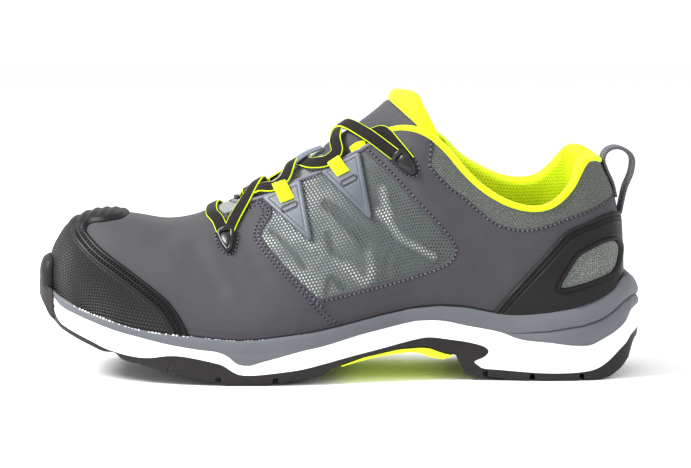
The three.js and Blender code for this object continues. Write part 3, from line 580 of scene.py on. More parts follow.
def shell(name, surface, top, bottom, material, angle=50, layers=None):
    """A closed piece between two heights over the last, given for each point."""
    count = len(surface.data)
    top = np.broadcast_to(top, count)[:, None]
    bottom = np.broadcast_to(bottom, count)[:, None]
    upper = surface.points + surface.normals * top
    lower = surface.points + surface.normals * bottom
    rim = boundary_edges(surface.triangles)
    walls = np.concatenate([
        np.stack([rim[:, 1], rim[:, 0], rim[:, 0] + count], 1),
        np.stack([rim[:, 1], rim[:, 0] + count, rim[:, 1] + count], 1),
    ])
    faces = np.concatenate([surface.triangles, surface.triangles[:, ::-1] + count, walls])
    layers = {label: np.tile(values, 2) for label, values in (layers or {}).items()}
    points = np.concatenate([upper, lower])
    obj = make_object(name, points, faces, uv=np.tile(surface.uv, (2, 1)), layers=layers)
    fix_facing(obj)
    paint(obj, material)
    shade(obj, angle)
    return obj


def sweep(name, path, normals, section, material, closed=False, angle=60):
    """A section of (across, up) points carried along a path."""
    path, normals = np.asarray(path, dtype=float), np.asarray(normals, dtype=float)
    section = np.asarray(section, dtype=float)
    if section.ndim == 2:
        section = np.broadcast_to(section, (len(path),) + section.shape)
    if closed:
        along = np.roll(path, -1, axis=0) - np.roll(path, 1, axis=0)
    else:
        along = np.gradient(path, axis=0)
    along /= np.linalg.norm(along, axis=1, keepdims=True)
    across = np.cross(along, normals)
    across /= np.linalg.norm(across, axis=1, keepdims=True)
    up = np.cross(across, along)
    points = path[:, None] + section[..., :1] * across[:, None] + section[..., 1:] * up[:, None]
    rings, count = points.shape[:2]
    faces = []
    for r in range(rings if closed else rings - 1):
        a, b = r * count, (r + 1) % rings * count
        faces += [(a + i, a + (i + 1) % count, b + (i + 1) % count, b + i) for i in range(count)]
    if not closed:
        faces += [tuple(range(count))[::-1], tuple((rings - 1) * count + i for i in range(count))]
    length = np.concatenate([[0], np.cumsum(np.linalg.norm(np.diff(path, axis=0), axis=1))])
    girth = np.linspace(0, 1, count)
    uv = np.stack(np.broadcast_arrays(length[:, None], girth[None]), axis=2)
    widest = np.abs(section[..., 0]).max()
    edge = np.abs(section[..., 0]) / widest
    obj = make_object(name, points.reshape(-1, 3), faces, uv=uv.reshape(-1, 2),
                      layers={"edge": edge.ravel()})
    fix_facing(obj)
    paint(obj, material)
    shade(obj, angle)
    return obj


def round_section(half_wide, half_high, count=12, power=1.0):
    angle = np.arange(count) / count * 2 * math.pi
    cos, sin = np.cos(angle), np.sin(angle)
    return np.stack([
        half_wide * np.sign(cos) * np.abs(cos) ** power,
        half_high * np.sign(sin) * np.abs(sin) ** power,
    ], axis=1)


def join(name, objects):
    """Several objects as one."""
    for obj in bpy.context.selected_objects:
        obj.select_set(False)
    for obj in objects:
        obj.select_set(True)
    bpy.context.view_layer.objects.active = objects[0]
    bpy.ops.object.join()
    objects[0].name = name
    return objects[0]


# Stitches: pitch, length and radius
STITCH = (2.3, 1.5, 0.5)
# The pale row is a painted highlight: long, nearly unbroken stitches laid just under the dark ones.
HIGHLIGHT_STITCH = (2.3, 2.415, 0.38)
OVERLAY_STITCH = (1.9, 1.35, 0.34)


def stitch_mesh():
    """One stitch: a capsule of unit length along X, flattened under its thread."""
    rings = [(-0.5, 0.25), (-0.42, 0.75), (-0.2, 1), (0.2, 1), (0.42, 0.75), (0.5, 0.25)]
    section = round_section(1, 1, 6)
    points = [(at, wide * a, wide * b) for at, wide in rings for a, b in section]
    faces = [
        (r * 6 + i, r * 6 + (i + 1) % 6, (r + 1) * 6 + (i + 1) % 6, (r + 1) * 6 + i)
        for r in range(len(rings) - 1) for i in range(6)
    ]
    faces += [tuple(range(6))[::-1], tuple(len(points) - 6 + i for i in range(6))]
    return np.array(points), faces


def chain_frames(chain):
    """Points of a chain, each with its unit direction along the chain and its unit normal."""
    along = np.gradient(chain[:, :3], axis=0)
    along /= np.maximum(np.linalg.norm(along, axis=1, keepdims=True), 1e-9)
    normal = chain[:, 3:6] / np.linalg.norm(chain[:, 3:6], axis=1, keepdims=True)
    return np.stack([chain[:, :3], along, normal], axis=1)


def capsules(name, frames, sizes, material):
    """A capsule at each frame, of its own length, width and height."""
    shape, shape_faces = stitch_mesh()
    centre, along, normal = np.asarray(frames).swapaxes(0, 1)
    axes = np.stack([along, np.cross(normal, along), normal], axis=1) * np.asarray(sizes)[..., None]
    points = centre[:, None] + shape @ axes
    starts = range(0, len(points) * len(shape), len(shape))
    faces = [tuple(start + k for k in face) for start in starts for face in shape_faces]
    obj = make_object(name, points.reshape(-1, 3), faces)
    paint(obj, material)
    shade(obj, 80)
    return obj


def stitches(name, chains, height, material, size=STITCH):
    """Rows of stitches along chains of points with normals, at a height over the last."""
    pitch, long, radius = size
    frames = np.concatenate([chain_frames(resample(chain, pitch)) for chain in chains])
    frames[:, 0] += frames[:, 2] * height
    return capsules(name, frames, [(long, radius, radius * 0.8)] * len(frames), material)


# Sole and bumper. Runs of the tread's long groove are shares of LENGTH
BITE_LINE = spline(line_of(BITE), 6)
CHANNEL_RUNS = ((0.2, 0.415), (0.735, 0.945))
TREAD_CHANNEL = 7.0
ARCH_INSET = 1.5
BUMPER_MIDDLE = LAST["lean"][0] * BALL_WIDTH / 2
BUMPER_HALF = 0.2 * BALL_WIDTH
BUMPER_ROUND = 0.8 * BUMPER_HALF
BUMPER_TOP = 0.57 * BODY_HEIGHT
BUMPER_HEAD = 0.85 * BUMPER_TOP
BUMPER_BEND = 0.8 * BUMPER_TOP
BUMPER_FOOT = 0.8 * SOLE_HEIGHT
BUMPER_BACK = -138.5
BUMPER_EDGE = 0.6
BUMPER_FOOT_TAPER = 4.0
BUMPER_TOP_TAPER = 2.4

# Rubber wall of the toe: the side outline of what it takes the place of, its end, its lower line,
# how far it stands out, and its profile from the lower line up
TOE_WALL = ((-200, 25), (-137, 25), (-139.5, 34), (-143.5, 47), (-143.5, 100), (-200, 100))
TOE_WALL_HALF = 1.15 * BUMPER_HALF
TOE_END = -128.0
TOE_LINE = table(
    "y z",
    (-150.5, 50), (-148, 43), (-146.8, 36.3), (-144, 28.9), (-141, 23.5), (-137, 20.5), (-128, 18),
)
TOE_OUT = 0.9
TOE_PROFILE = ((0, -1.5), (0.08, 0), (0.9, 0), (1, -1.2))

# Straps, laces, overlays and seams
LOOP_WIDTH = 15.0
LOOP_THICKNESS = 1.8
LACE_WIDTH = 6.2
LACE_THICKNESS = 1.3
TOE_CAP_END = -72.0
CAP_RIB = 4.2
WINDOW_RIM = 2.2
GLUE_PITCH = 1.7
GLUE_END = -15.0
GLUE_GAPS = 0.3
COLLAR_START = 24.9
PIPING_RUN = (-52.0, 24.0)
SEAM_SPARE = 2.0

# Outlines and lines of the side view in millimetres, y along the shoe and z up
MESH_PANEL = spline([
    (-37.7, 86.3), (-33.7, 83.5), (-32.2, 79.3), (-35.4, 73.9), (-37.7, 69.5), (-36.2, 67),
    (-25.1, 54.7), (-12.8, 43.3), (-10.3, 41), (-7, 41.6), (15.6, 46.6), (38.7, 53), (52.8, 58.5),
    (55.6, 63.1), (52.7, 68.7), (38.7, 84.4), (25, 99.1), (12.1, 111.1), (4, 122), (-30, 110),
], 4, closed=True)
COLLAR_PANEL = np.concatenate([
    spline([
        (46.4, 111.1), (45.3, 105.1), (47.7, 101.5), (54.7, 94.1), (61.7, 89.1), (69, 82.6),
        (75.7, 77.4), (86.4, 73.9), (97.7, 74.7), (110, 78.9), (123.3, 83.8), (131.3, 87.4),
        (135.1, 90.2),
    ], 5),
    [(150, 96), (150, 140), (46, 140)],
])
LINING = np.array([(52.5, 86), (66, 74), (90, 62), (114, 66), (150, 78), (150, 200), (52.5, 200)])
THROAT_PANEL = np.array([
    (-61, 110), (-60.5, 84), (-58.8, 79.6), (-56, 78.2), (-50, 80.6), (-44, 83.6), (-38, 87.6),
    (-36, 94), (-38, 110),
])
TONGUE_RIM = ((24.9, 135.5), (46, 116.7))
TONGUE_SEAM = ((-9, 60), (-9, 160))
PANEL_FRONT = table("z y", (38, -8), (42, -12), (60, -26), (90, -24))

# Pressed lines of the side mesh: points, half width and height
MESH_RELIEF = (
    (((-33, 71.6), (-27.8, 67.3), (-21.2, 60.8), (-17.1, 55.3)), 1.6, -0.9),
    (((-6.5, 84.4), (-2.9, 82.3), (3.2, 76.9), (9.2, 71.1), (12.9, 66)), 2.2, -1.1),
    (((-5.6, 70.6), (-3.7, 63.4), (1.4, 57.9)), 1.6, -0.8),
    (((23.6, 50.3), (23.6, 58.5), (26.4, 62.3), (30.5, 59.4), (38.3, 55.4)), 1.6, -0.8),
    (((-6.5, 43), (-4.1, 50.3), (1.8, 45.6)), 1.4, -0.8),
    (((-1.4, 58.8), (6.8, 52.9), (12.1, 48.6), (15.3, 51.9), (14.8, 61.5)), 2.0, 0.9),
    (((19.8, 81), (23.7, 77.7), (27.1, 73.3), (30.5, 69), (39.2, 64.1), (46, 60.2)), 2.0, 1.0),
    (((21.8, 92), (22.7, 85.8), (24.7, 80.5)), 2.0, 0.8),
    (((-27, 78), (-20, 71), (-12, 64)), 1.8, 0.7),
)
# Creases of the leather: two ends, half width and height
CREASES = (
    ((-70, 62), (-58, 45), 4.0, -0.5),
    ((-62, 60), (-50, 42), 3.5, 0.45),
    ((-84, 68), (-70, 74), 3.0, -0.35),
    ((-96, 66), (-80, 56), 4.0, 0.4),
    ((-47, 68), (-38, 52), 3.5, -0.45),
    ((-30, 48), (-18, 36), 3.0, 0.4),
    ((62, 64), (78, 52), 4.0, -0.45),
    ((66, 74), (84, 62), 3.5, 0.4),
    ((20, 40), (44, 46), 2.6, -0.35),
    ((40, 92), (52, 80), 3.2, 0.4),
    ((88, 68), (98, 66), 3.0, -0.3),
)
VAMP_SEAM = ((-10.3, 41), (-4, 34.6), (1.5, 28.9))
VAMP_STITCHES = (
    ((-11.8, 39.7), (-5.5, 33.3), (-2, 29.8)),
    ((-13.4, 38.2), (-7.1, 31.8), (-4.6, 29.2)),
)

# Lacing: plates and loops as side outlines, hooks as a middle and the angle they point at
PLATES = (
    ((-37.7, 85.9), (-18, 95.3), (-12.4, 65.4)),
    ((-8.5, 99.2), (11.1, 109.7), (16.4, 76)),
)
PLATE_MARKS = (
    (np.array([-23.2, 81.6]), math.radians(25)),
    (np.array([5.9, 95]), math.radians(28)),
)
LOOPS = (
    ((-31.4, 91), (-24.8, 93.6), (-20.9, 85.8), (-27.6, 83.2)),
    ((-4.6, 102.6), (1.2, 106.6), (6.2, 99.8), (0.2, 96.6)),
)
RINGS = (
    ((-54.2, 66), math.radians(-76)),
    ((33.3, 105.5), math.radians(-45)),
)
# A hook's wire: distances along its direction, across it and over the last, and its radius
RING_PATH = (
    (-4.4, -3.0, 2.8, 1.25), (-5.0, 0, 3.4, 1.5), (-4.4, 3.0, 2.8, 1.25), (0, 2.7, 2.2, 1.25),
    (4.6, 1.3, 1.8, 1.3), (7.0, 0, 1.7, 1.3), (4.6, -1.3, 1.8, 1.3), (0, -2.7, 2.2, 1.25),
)
# Rings of a hook's body: height over the last and share of its full size
HOOK_BODY = ((-0.2, 1.0), (2.5, 1.0), (3.4, 0.75), (3.7, 0.35))
HOOK_SIDES = 16
HOOK_SEAM = ((-6, -5.4), (-1, -5.4), (5, -3.9), (9.6, -0.4), (7.6, 2.8), (2, 4.8), (-3, 5.6))

# Strands of the lace: place, its two coordinates and the height over the last
LACE_STRANDS = (
    (
        ("outer", -56, 68.5, 3.6), ("outer", -58.6, 74, 3.8), ("top", 10, -61.5, 3.8),
        ("top", -16, -61.5, 3.8), ("inner", -58.6, 74, 3.8), ("inner", -56, 68.5, 3.6),
    ),
    (
        ("outer", -53.5, 69.5, 3.4), ("outer", -50.5, 75.5, 3.7), ("outer", -46, 82.5, 3.6),
        ("top", 2, -38.5, 4.6), ("inner", -36, 89, 3.8), ("inner", -30.5, 91.5, 4.8),
        ("inner", -25.5, 95, 4.6), ("top", -5, -21, 2.4), ("outer", -12, 102.5, 3.8),
        ("outer", -4.6, 103.8, 4.8), ("outer", 0.2, 108, 4.6), ("outer", 0, 114, 4.0),
        ("top", -4, 4, 3.2), ("inner", 16, 116, 3.2), ("inner", 26, 110, 3.2),
        ("inner", 33, 105.5, 3.6),
    ),
    (
        ("inner", -53.5, 69.5, 3.4), ("inner", -50.5, 75.5, 3.7), ("top", -10, -45, 2.8),
        ("top", 6, -43, 2.4), ("outer", -37, 89.5, 4.0), ("outer", -30.5, 90.5, 4.6),
        ("outer", -25.5, 94, 4.6), ("top", 4, -21, 4.0), ("inner", -12, 102.5, 4.2),
        ("inner", -4.6, 103.8, 4.8),
        ("inner", 0.2, 108, 4.6), ("inner", 0, 114, 4.4), ("top", 2, 5, 4.8),
        ("outer", 15, 117.5, 4.0), ("outer", 26, 110.5, 3.8), ("outer", 33.3, 105.2, 3.8),
    ),
    (
        ("outer", 35.5, 106, 3.0), ("outer", 29, 113.5, 2.6), ("outer", 22, 119.5, 2.4),
        ("outer", 15.5, 117.5, 2.2),
    ),
    (
        ("inner", 35.5, 106, 3.0), ("inner", 29, 113.5, 2.6), ("inner", 22, 119.5, 2.4),
        ("inner", 15.5, 117.5, 2.2),
    ),
)
TONGUE_WEBBING = (
    ("top", 7, -29.5, 0.6), ("top", 6, -25, 2.6), ("top", 5, -19, 3.6), ("top", 4, -14, 3.2),
    ("top", 3, -8, 1.2),
)
KEEPER = (("outer", 6.5, 110, 1.2), ("outer", 10, 112, 2.4), ("outer", 13.5, 113.4, 1.2))
PULL_LOOP = (
    (137.9, 87), (136.2, 94), (133, 101), (131.6, 106), (133.4, 109.9), (137.9, 111.7),
    (143.3, 109.9), (146.2, 106.3), (145.8, 99.3), (142.8, 91.5), (140.2, 79),
)


# Solids from rings and outlines, and cuts between them
def ring_faces(ring_count, count):
    faces = []
    for r in range(ring_count - 1):
        for i in range(count):
            j = (i + 1) % count
            faces.append((r * count + i, r * count + j, (r + 1) * count + j, (r + 1) * count + i))
    return faces


def cap_faces(start, count, flip):
    """Strips from one side of a ring to the other."""
    faces = []
    for i in range(count // 2):
        a, b = i, i + 1
        c, d = (count - i - 1) % count, (count - i) % count
        face = (a, b, c) if i == 0 else ((a, b, d) if b == c else (a, b, c, d))
        face = tuple(start + k for k in face)
        faces.append(face[::-1] if flip else face)
    return faces


def ring_mesh(name, rings):
    rings = np.asarray(rings)
    count = rings.shape[1]
    faces = ring_faces(len(rings), count)
    faces += cap_faces(0, count, True) + cap_faces((len(rings) - 1) * count, count, False)
    obj = make_object(name, rings.reshape(-1, 3), faces, body=None)
    fix_facing(obj)
    return obj


def prism_mesh(name, outline, low=-80.0, high=80.0):
    """A side outline, drawn across the shoe."""
    outline = np.asarray(outline)
    count = len(outline)
    ends = [np.column_stack([np.full(count, x), outline]) for x in (low, high)]
    faces = [tuple(range(count)), tuple(range(count, 2 * count))[::-1]]
    faces += [(i, (i + 1) % count, count + (i + 1) % count, count + i) for i in range(count)]
    obj = make_object(name, np.concatenate(ends), faces, body=None)
    fix_facing(obj)
    return obj


def boolean(target, tool, operation):
    """Cut or intersect with a helper object, which stays."""
    modifier = target.modifiers.new("cut", "BOOLEAN")
    modifier.operation = operation
    modifier.solver = "MANIFOLD"
    modifier.object = tool
    graph = bpy.context.evaluated_depsgraph_get()
    mesh = bpy.data.meshes.new_from_object(target.evaluated_get(graph))
    target.modifiers.clear()
    old = target.data
    target.data = mesh
    bpy.data.meshes.remove(old)


def discard(obj):
    mesh = obj.data
    bpy.data.objects.remove(obj)
    bpy.data.meshes.remove(mesh)


def copy_object(obj, name):
    new = obj.copy()
    new.data = obj.data.copy()
    new.name = name
    bpy.context.scene.collection.objects.link(new)
    return new


# Materials
class Nodes:
    """A node material whose parts are added by short calls."""

    def __init__(self, name, roughness, specular=0.5):
        self.material = bpy.data.materials.new(name)
        self.material.use_nodes = True
        self.tree = self.material.node_tree
        self.tree.nodes.clear()
        output = self.tree.nodes.new("ShaderNodeOutputMaterial")
        self.shader = self.tree.nodes.new("ShaderNodeBsdfPrincipled")
        self.tree.links.new(self.shader.outputs[0], output.inputs[0])
        self.shader.inputs["Roughness"].default_value = roughness
        self.shader.inputs["Specular IOR Level"].default_value = specular

    def node(self, kind, *inputs, **settings):
        """A node with its first inputs linked or set, and its settings."""
        node = self.tree.nodes.new("ShaderNode" + kind)
        for key, value in settings.items():
            setattr(node, key, value)
        for socket, value in zip(node.inputs, inputs):
            if isinstance(value, bpy.types.NodeSocket):
                self.tree.links.new(value, socket)
            elif value is not None:
                socket.default_value = value
        return node

    def math(self, operation, *values):
        return self.node("Math", *values, operation=operation).outputs[0]

    def vector(self, operation, *values):
        node = self.node("VectorMath", *values, operation=operation)
        return node.outputs["Value" if operation in ("LENGTH", "DOT_PRODUCT") else "Vector"]

    def millimetres(self):
        return self.node("UVMap", uv_map="millimetres").outputs[0]

    def layer(self, name):
        return self.node("Attribute", attribute_name=name).outputs["Fac"]

    def noise(self, scale, detail=3.0, roughness=0.6):
        node = self.node("TexNoise")
        place = self.node("TexCoord").outputs["Object"]
        self.tree.links.new(place, node.inputs["Vector"])
        node.inputs["Scale"].default_value = scale
        node.inputs["Detail"].default_value = detail
        node.inputs["Roughness"].default_value = roughness
        return node.outputs["Fac"]

    def range(self, value, low, high, to_low=0.0, to_high=1.0):
        node = self.node("MapRange", value, low, high, to_low, to_high)
        return node.outputs[0]

    def mix(self, share, first, second):
        node = self.node("Mix", data_type="RGBA")
        for index, value in ((0, share), (6, first), (7, second)):
            socket = node.inputs[index]
            if isinstance(value, bpy.types.NodeSocket):
                self.tree.links.new(value, socket)
            else:
                socket.default_value = linear(value) if isinstance(value, str) else value
        return node.outputs[2]

    def colour(self, value):
        socket = self.shader.inputs["Base Color"]
        if isinstance(value, str):
            socket.default_value = linear(value)
        else:
            self.tree.links.new(value, socket)

    def rough(self, value):
        self.tree.links.new(value, self.shader.inputs["Roughness"])

    def bump(self, height, distance, strength=1.0):
        """Bump of a height, its distance in millimetres. Calls after the first add to it."""
        node = self.tree.nodes.new("ShaderNodeBump")
        node.inputs["Strength"].default_value = strength
        node.inputs["Distance"].default_value = distance * MM
        self.tree.links.new(height, node.inputs["Height"])
        socket = self.shader.inputs["Normal"]
        if socket.links:
            self.tree.links.new(socket.links[0].from_socket, node.inputs["Normal"])
        self.tree.links.new(node.outputs[0], socket)

    def dots(self, pitch, stretch=1.0):
        """Distance to the nearest point of a hexagonal grid, as a share of its pitch."""
        size = (1 / pitch, stretch / (pitch * math.sqrt(3)), 1)
        place = self.vector("MULTIPLY", self.millimetres(), size)
        distances = []
        for shift in ((0, 0, 0), (0.5, 0.5, 0)):
            part = self.vector("FRACTION", self.vector("ADD", place, shift))
            part = self.vector("SUBTRACT", part, (0.5, 0.5, 0))
            part = self.vector("MULTIPLY", part, (1, math.sqrt(3), 0))
            distances.append(self.vector("LENGTH", part))
        return self.math("MINIMUM", *distances)

    def sheen(self, weight):
        self.shader.inputs["Sheen Weight"].default_value = weight
        self.shader.inputs["Sheen Roughness"].default_value = 0.4

    def coat(self, weight, roughness):
        self.shader.inputs["Coat Weight"].default_value = weight
        self.shader.inputs["Coat Roughness"].default_value = roughness


def linear(hex_colour):
    """A colour written as in a paint program, in Blender's linear values."""
    parts = [int(hex_colour[i:i + 2], 16) / 255 for i in (1, 3, 5)]
    return [((c + 0.055) / 1.055) ** 2.4 if c > 0.04045 else c / 12.92 for c in parts] + [1]


def paint(obj, material):
    obj.data.materials.clear()
    obj.data.materials.append(material)


def leather_material():
    m = Nodes("grey_leather", 0.72, 0.35)
    grain_and_painted_light = m.noise(1100, 4, 0.65)
    cloud = m.noise(28, 3, 0.5)
    base = m.mix(m.range(cloud, 0.3, 0.7), "#2d2c2f", "#363539")
    m.colour(m.mix(m.range(grain_and_painted_light, 0.35, 0.75, 0, 0.5), base, "#47454a"))
    m.rough(m.range(grain_and_painted_light, 0.2, 0.8, 0.62, 0.85))
    m.bump(m.noise(420, 3, 0.6), 0.12, 0.5)
    m.bump(grain_and_painted_light, 0.05, 0.6)
    m.sheen(0.08)
    return m.material


def overlay_material():
    m = Nodes("black_overlay", 0.55, 0.2)
    grain_and_painted_light = m.noise(1500, 3, 0.6)
    m.colour(m.mix(m.range(grain_and_painted_light, 0.3, 0.8), "#0f0d0e", "#181617"))
    m.rough(m.range(m.noise(60, 2), 0.3, 0.7, 0.42, 0.58))
    m.bump(grain_and_painted_light, 0.03, 0.6)
    return m.material


def stud_material():
    """Black overlay with rows of small pyramids, where the layer studs is 1."""
    m = Nodes("studded_overlay", 0.5, 0.25)
    place = m.vector("MULTIPLY", m.millimetres(), (1 / 1.7, 1 / 1.5, 0))
    row = m.node("SeparateXYZ", place)
    shift = m.math("MULTIPLY", m.math("FLOOR", row.outputs[1]), 0.5)
    across = m.math("PINGPONG", m.math("ADD", row.outputs[0], shift), 0.5)
    up = m.math("PINGPONG", row.outputs[1], 0.5)
    stud = m.math("MULTIPLY", m.math("MINIMUM", across, up), m.layer("studs"))
    grain_and_painted_light = m.noise(1500, 3, 0.6)
    # Painted shade: the grooves between the pyramids are near black and their peaks lighter.
    m.colour(m.mix(m.range(stud, 0, 0.45), "#050405", "#221f21"))
    m.bump(stud, 1.3, 1.0)
    m.bump(grain_and_painted_light, 0.03, 0.6)
    return m.material


def rubber_material():
    m = Nodes("black_rubber", 0.6, 0.2)
    grain_and_painted_light = m.noise(1300, 3, 0.6)
    m.colour(m.mix(m.range(m.noise(45, 3), 0.3, 0.7), "#1a1719", "#221f20"))
    m.rough(m.range(grain_and_painted_light, 0.3, 0.8, 0.45, 0.68))
    m.bump(grain_and_painted_light, 0.04, 0.5)
    return m.material


def foam_material(name, dark, light):
    m = Nodes(name, 0.55, 0.35)
    pores = m.noise(1600, 2, 0.5)
    m.colour(m.mix(m.range(m.noise(30, 2), 0.3, 0.7), dark, light))
    m.rough(m.range(pores, 0.3, 0.7, 0.48, 0.62))
    m.bump(pores, 0.03, 0.5)
    m.bump(m.noise(90, 2), 0.25, 0.25)
    return m.material


def mesh_material():
    """Knitted side panel with holes in painted light: white holes are painted highlights on the
    ridges, dark ones painted shade in the troughs.
    """
    m = Nodes("side_mesh", 0.7, 0.3)
    dots = m.dots(1.85)
    hole = m.range(dots, 0.17, 0.34, 1, 0)
    grain_and_painted_light = m.noise(1500, 3, 0.7)
    thread = m.mix(m.range(grain_and_painted_light, 0.3, 0.75), "#313636", "#545a59")
    # The layer relief gives each hole its painted light: highlight on the ridges, shade in the
    # troughs.
    ridge = m.layer("relief")
    hole_painted_light = m.mix(m.range(ridge, 0.3, 0.75), "#101214", "#d2d6d6")
    amount = m.range(m.noise(75, 2), 0.35, 0.62, 0.35, 1)
    m.colour(m.mix(m.math("MULTIPLY", hole, amount), thread, hole_painted_light))
    m.bump(dots, 0.5, 0.6)
    m.bump(grain_and_painted_light, 0.08, 0.6)
    m.sheen(0.15)
    return m.material


def textile_material(name, dark, light, fleck, pitch):
    """Woven cloth with pale flecks."""
    m = Nodes(name, 0.8, 0.3)
    weave = m.dots(pitch, 1.4)
    grain_and_painted_light = m.noise(1900, 2, 0.6)
    thread = m.mix(m.range(weave, 0.08, 0.42), dark, light)
    m.colour(m.mix(m.range(grain_and_painted_light, 0.5, 0.64, 0, 0.3), thread, fleck))
    m.bump(weave, 0.25, 0.6)
    m.bump(grain_and_painted_light, 0.1, 0.6)
    m.sheen(0.1)
    return m.material


def yellow_material(name="yellow_lining", pitch=1.9, hole="#b9cc00"):
    """Yellow spacer cloth with rows of holes."""
    m = Nodes(name, 0.7, 0.3)
    dots = m.dots(pitch)
    m.colour(m.mix(m.range(dots, 0.16, 0.3, 1, 0), "#d9f000", hole))
    m.bump(dots, 0.4, 0.7)
    m.bump(m.noise(1300, 3), 0.06, 0.6)
    m.sheen(0.15)
    return m.material


def ribbed_material(name, dark, light, pitch, depth=0.35):
    """Webbing with ribs across it."""
    m = Nodes(name, 0.7, 0.3)
    place = m.node("SeparateXYZ", m.vector("MULTIPLY", m.millimetres(), (1 / pitch, 0, 0)))
    rib = m.math("PINGPONG", place.outputs[0], 0.5)
    grain_and_painted_light = m.noise(1800, 2)
    # Painted shade: darker lines in the grooves between the ribs.
    m.colour(m.mix(m.range(rib, 0.02, 0.3), dark, light))
    m.bump(rib, depth, 1.0)
    m.bump(grain_and_painted_light, 0.05, 0.6)
    m.sheen(0.1)
    return m.material


def lace_material():
    """Black flat lace with thin yellow edges."""
    m = Nodes("lace", 0.8, 0.15)
    edge = m.range(m.layer("edge"), 0.87, 0.92)
    weave = m.noise(1400, 2, 0.6)
    black = m.mix(m.range(weave, 0.3, 0.7), "#0a0908", "#1b1816")
    m.colour(m.mix(edge, black, "#d3ea00"))
    m.bump(weave, 0.12, 0.7)
    m.sheen(0.1)
    return m.material


def plastic_material():
    m = Nodes("grey_plastic", 0.42, 0.45)
    grain_and_painted_light = m.noise(1700, 2)
    base = m.mix(m.range(m.noise(70, 2), 0.3, 0.7), "#474c55", "#51565f")
    m.colour(m.mix(m.layer("mark"), base, "#17171a"))
    m.rough(m.range(grain_and_painted_light, 0.3, 0.7, 0.38, 0.5))
    m.bump(grain_and_painted_light, 0.02, 0.6)
    return m.material


def gloss_material():
    m = Nodes("black_gloss", 0.25, 0.35)
    m.colour(m.mix(m.range(m.noise(200, 2), 0.3, 0.7), "#070708", "#101012"))
    m.rough(m.range(m.noise(300, 2), 0.3, 0.7, 0.26, 0.36))
    m.coat(0.12, 0.2)
    return m.material


def thread_material(name, dark, light):
    m = Nodes(name, 0.6, 0.35)
    m.colour(m.mix(m.range(m.noise(700, 2), 0.35, 0.65), dark, light))
    m.bump(m.noise(2200, 1), 0.08, 0.7)
    return m.material


def glue_material():
    m = Nodes("glue", 0.3, 0.5)
    m.colour(m.mix(m.range(m.noise(500, 2), 0.4, 0.6), "#b9bcbd", "#e6e8e8"))
    return m.material


def yellow_plate_material():
    m = Nodes("yellow_plate", 0.35, 0.5)
    grain_and_painted_light = m.noise(1500, 2)
    m.colour(m.mix(m.range(m.noise(60, 2), 0.3, 0.7), "#cfe600", "#def500"))
    m.rough(m.range(grain_and_painted_light, 0.3, 0.7, 0.3, 0.42))
    m.bump(grain_and_painted_light, 0.02, 0.6)
    return m.material


def floor_material():
    m = Nodes("studio_floor", 0.9, 0.0)
    m.colour("#fbfbfb")
    return m.material


leather = leather_material()
overlay = overlay_material()
insole_cloth = textile_material("insole_cloth", "#8f9a10", "#b8c61c", "#cfdd3a", 1.0)
yellow_plate = yellow_plate_material()
overlay_thread = thread_material("overlay_thread", "#050506", "#121114")
studs = stud_material()
rubber = rubber_material()
white_foam = foam_material("white_foam", "#e6e7e8", "#eeeeef")
grey_foam = foam_material("grey_foam", "#515459", "#5a5d62")
side_mesh = mesh_material()
collar_cloth = textile_material("collar_cloth", "#1c1e1c", "#4b4f4b", "#8c9189", 1.7)
tongue_cloth = textile_material("tongue_cloth", "#3c4041", "#7a7f7f", "#c0c4c2", 1.8)
window_cloth = textile_material("window_cloth", "#1f211f", "#5a5e5a", "#c2c6c0", 2.0)
inner_cloth = textile_material("inner_cloth", "#2b2c2e", "#38393b", "#4a4b4d", 1.2)
yellow_cloth = yellow_material()
yellow_rim = yellow_material("yellow_rim", 1.2, "#c3da00")
yellow_webbing = ribbed_material("yellow_webbing", "#a9be00", "#e0f500", 1.05)
grey_webbing = ribbed_material("grey_webbing", "#35353b", "#56565e", 1.3)
pale_webbing = ribbed_material("pale_webbing", "#474c58", "#656b78", 0.8, 0.2)
piping = ribbed_material("piping", "#4d4b57", "#75727f", 0.9, 0.2)
lace_cloth = lace_material()
grey_plastic = plastic_material()
black_gloss = gloss_material()
dark_thread = thread_material("dark_thread", "#0b0a12", "#191722")
# Painted highlight of the stitching: a lavender colour for the light that the dark thread catches.
thread_highlight = thread_material("thread_highlight", "#5b596e", "#8b889d")
glue = glue_material()


# Sole
def sole_block(name):
    rings = []
    profile = spline(np.stack(list(SOLE_PROFILE.values()), axis=1), 4)
    behind = smooth_step(LENGTH * 0.26, LENGTH * 0.34, contour[:, 1])
    for up, out, heel_out in profile:
        moved = contour + contour_out * (out + heel_out * behind)[:, None]
        low = height_at(GROUND, moved[:, 1])
        high = height_at(BITE, moved[:, 1])
        rings.append(np.column_stack([moved, low + (high - low) * max(up, 0)]))
    return ring_mesh(name, rings)


def cut_away(target, tool, operation="DIFFERENCE"):
    boolean(target, tool, operation)
    discard(tool)


def sole_layer(name, block, lower, upper, spare):
    """The stretch of the block between two side lines, a spare under the upper one."""
    piece = copy_object(block, name)
    low = spline(line_of(lower), 4)
    high = spline(line_of(upper), 4) - [0, spare]
    cut_away(piece, prism_mesh("zone", np.concatenate([low, high[::-1]])), "INTERSECT")
    return piece


def sole_piece(obj, material, node=None):
    """Body and looks of a piece of the sole, and hiding the node that it stands for."""
    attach(obj, "root")
    if node:
        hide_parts(node)
    paint(obj, material)
    shade(obj, 40)


def cut_tread(tread):
    for at in TREAD_GROOVES:
        y = along_length(at)
        z = height_at(GROUND, y)
        half = TREAD_GROOVE / 2
        low = z - TREAD_GROOVE
        notch = [(y - half, low), (y + half, low), (y + half * 0.4, z + TREAD_DEPTH),
                 (y - half * 0.4, z + TREAD_DEPTH)]
        cut_away(tread, prism_mesh("notch", notch))
    for start, end in CHANNEL_RUNS:
        y = along_length(np.linspace(start, end, 12))
        roof = np.column_stack([y, height_at(GROUND, y) + TREAD_DEPTH])
        ends = [(y[-1], -TREAD_DEPTH), (y[0], -TREAD_DEPTH)]
        width = TREAD_CHANNEL / 2
        cut_away(tread, prism_mesh("channel", np.concatenate([roof, ends]), -width, width))


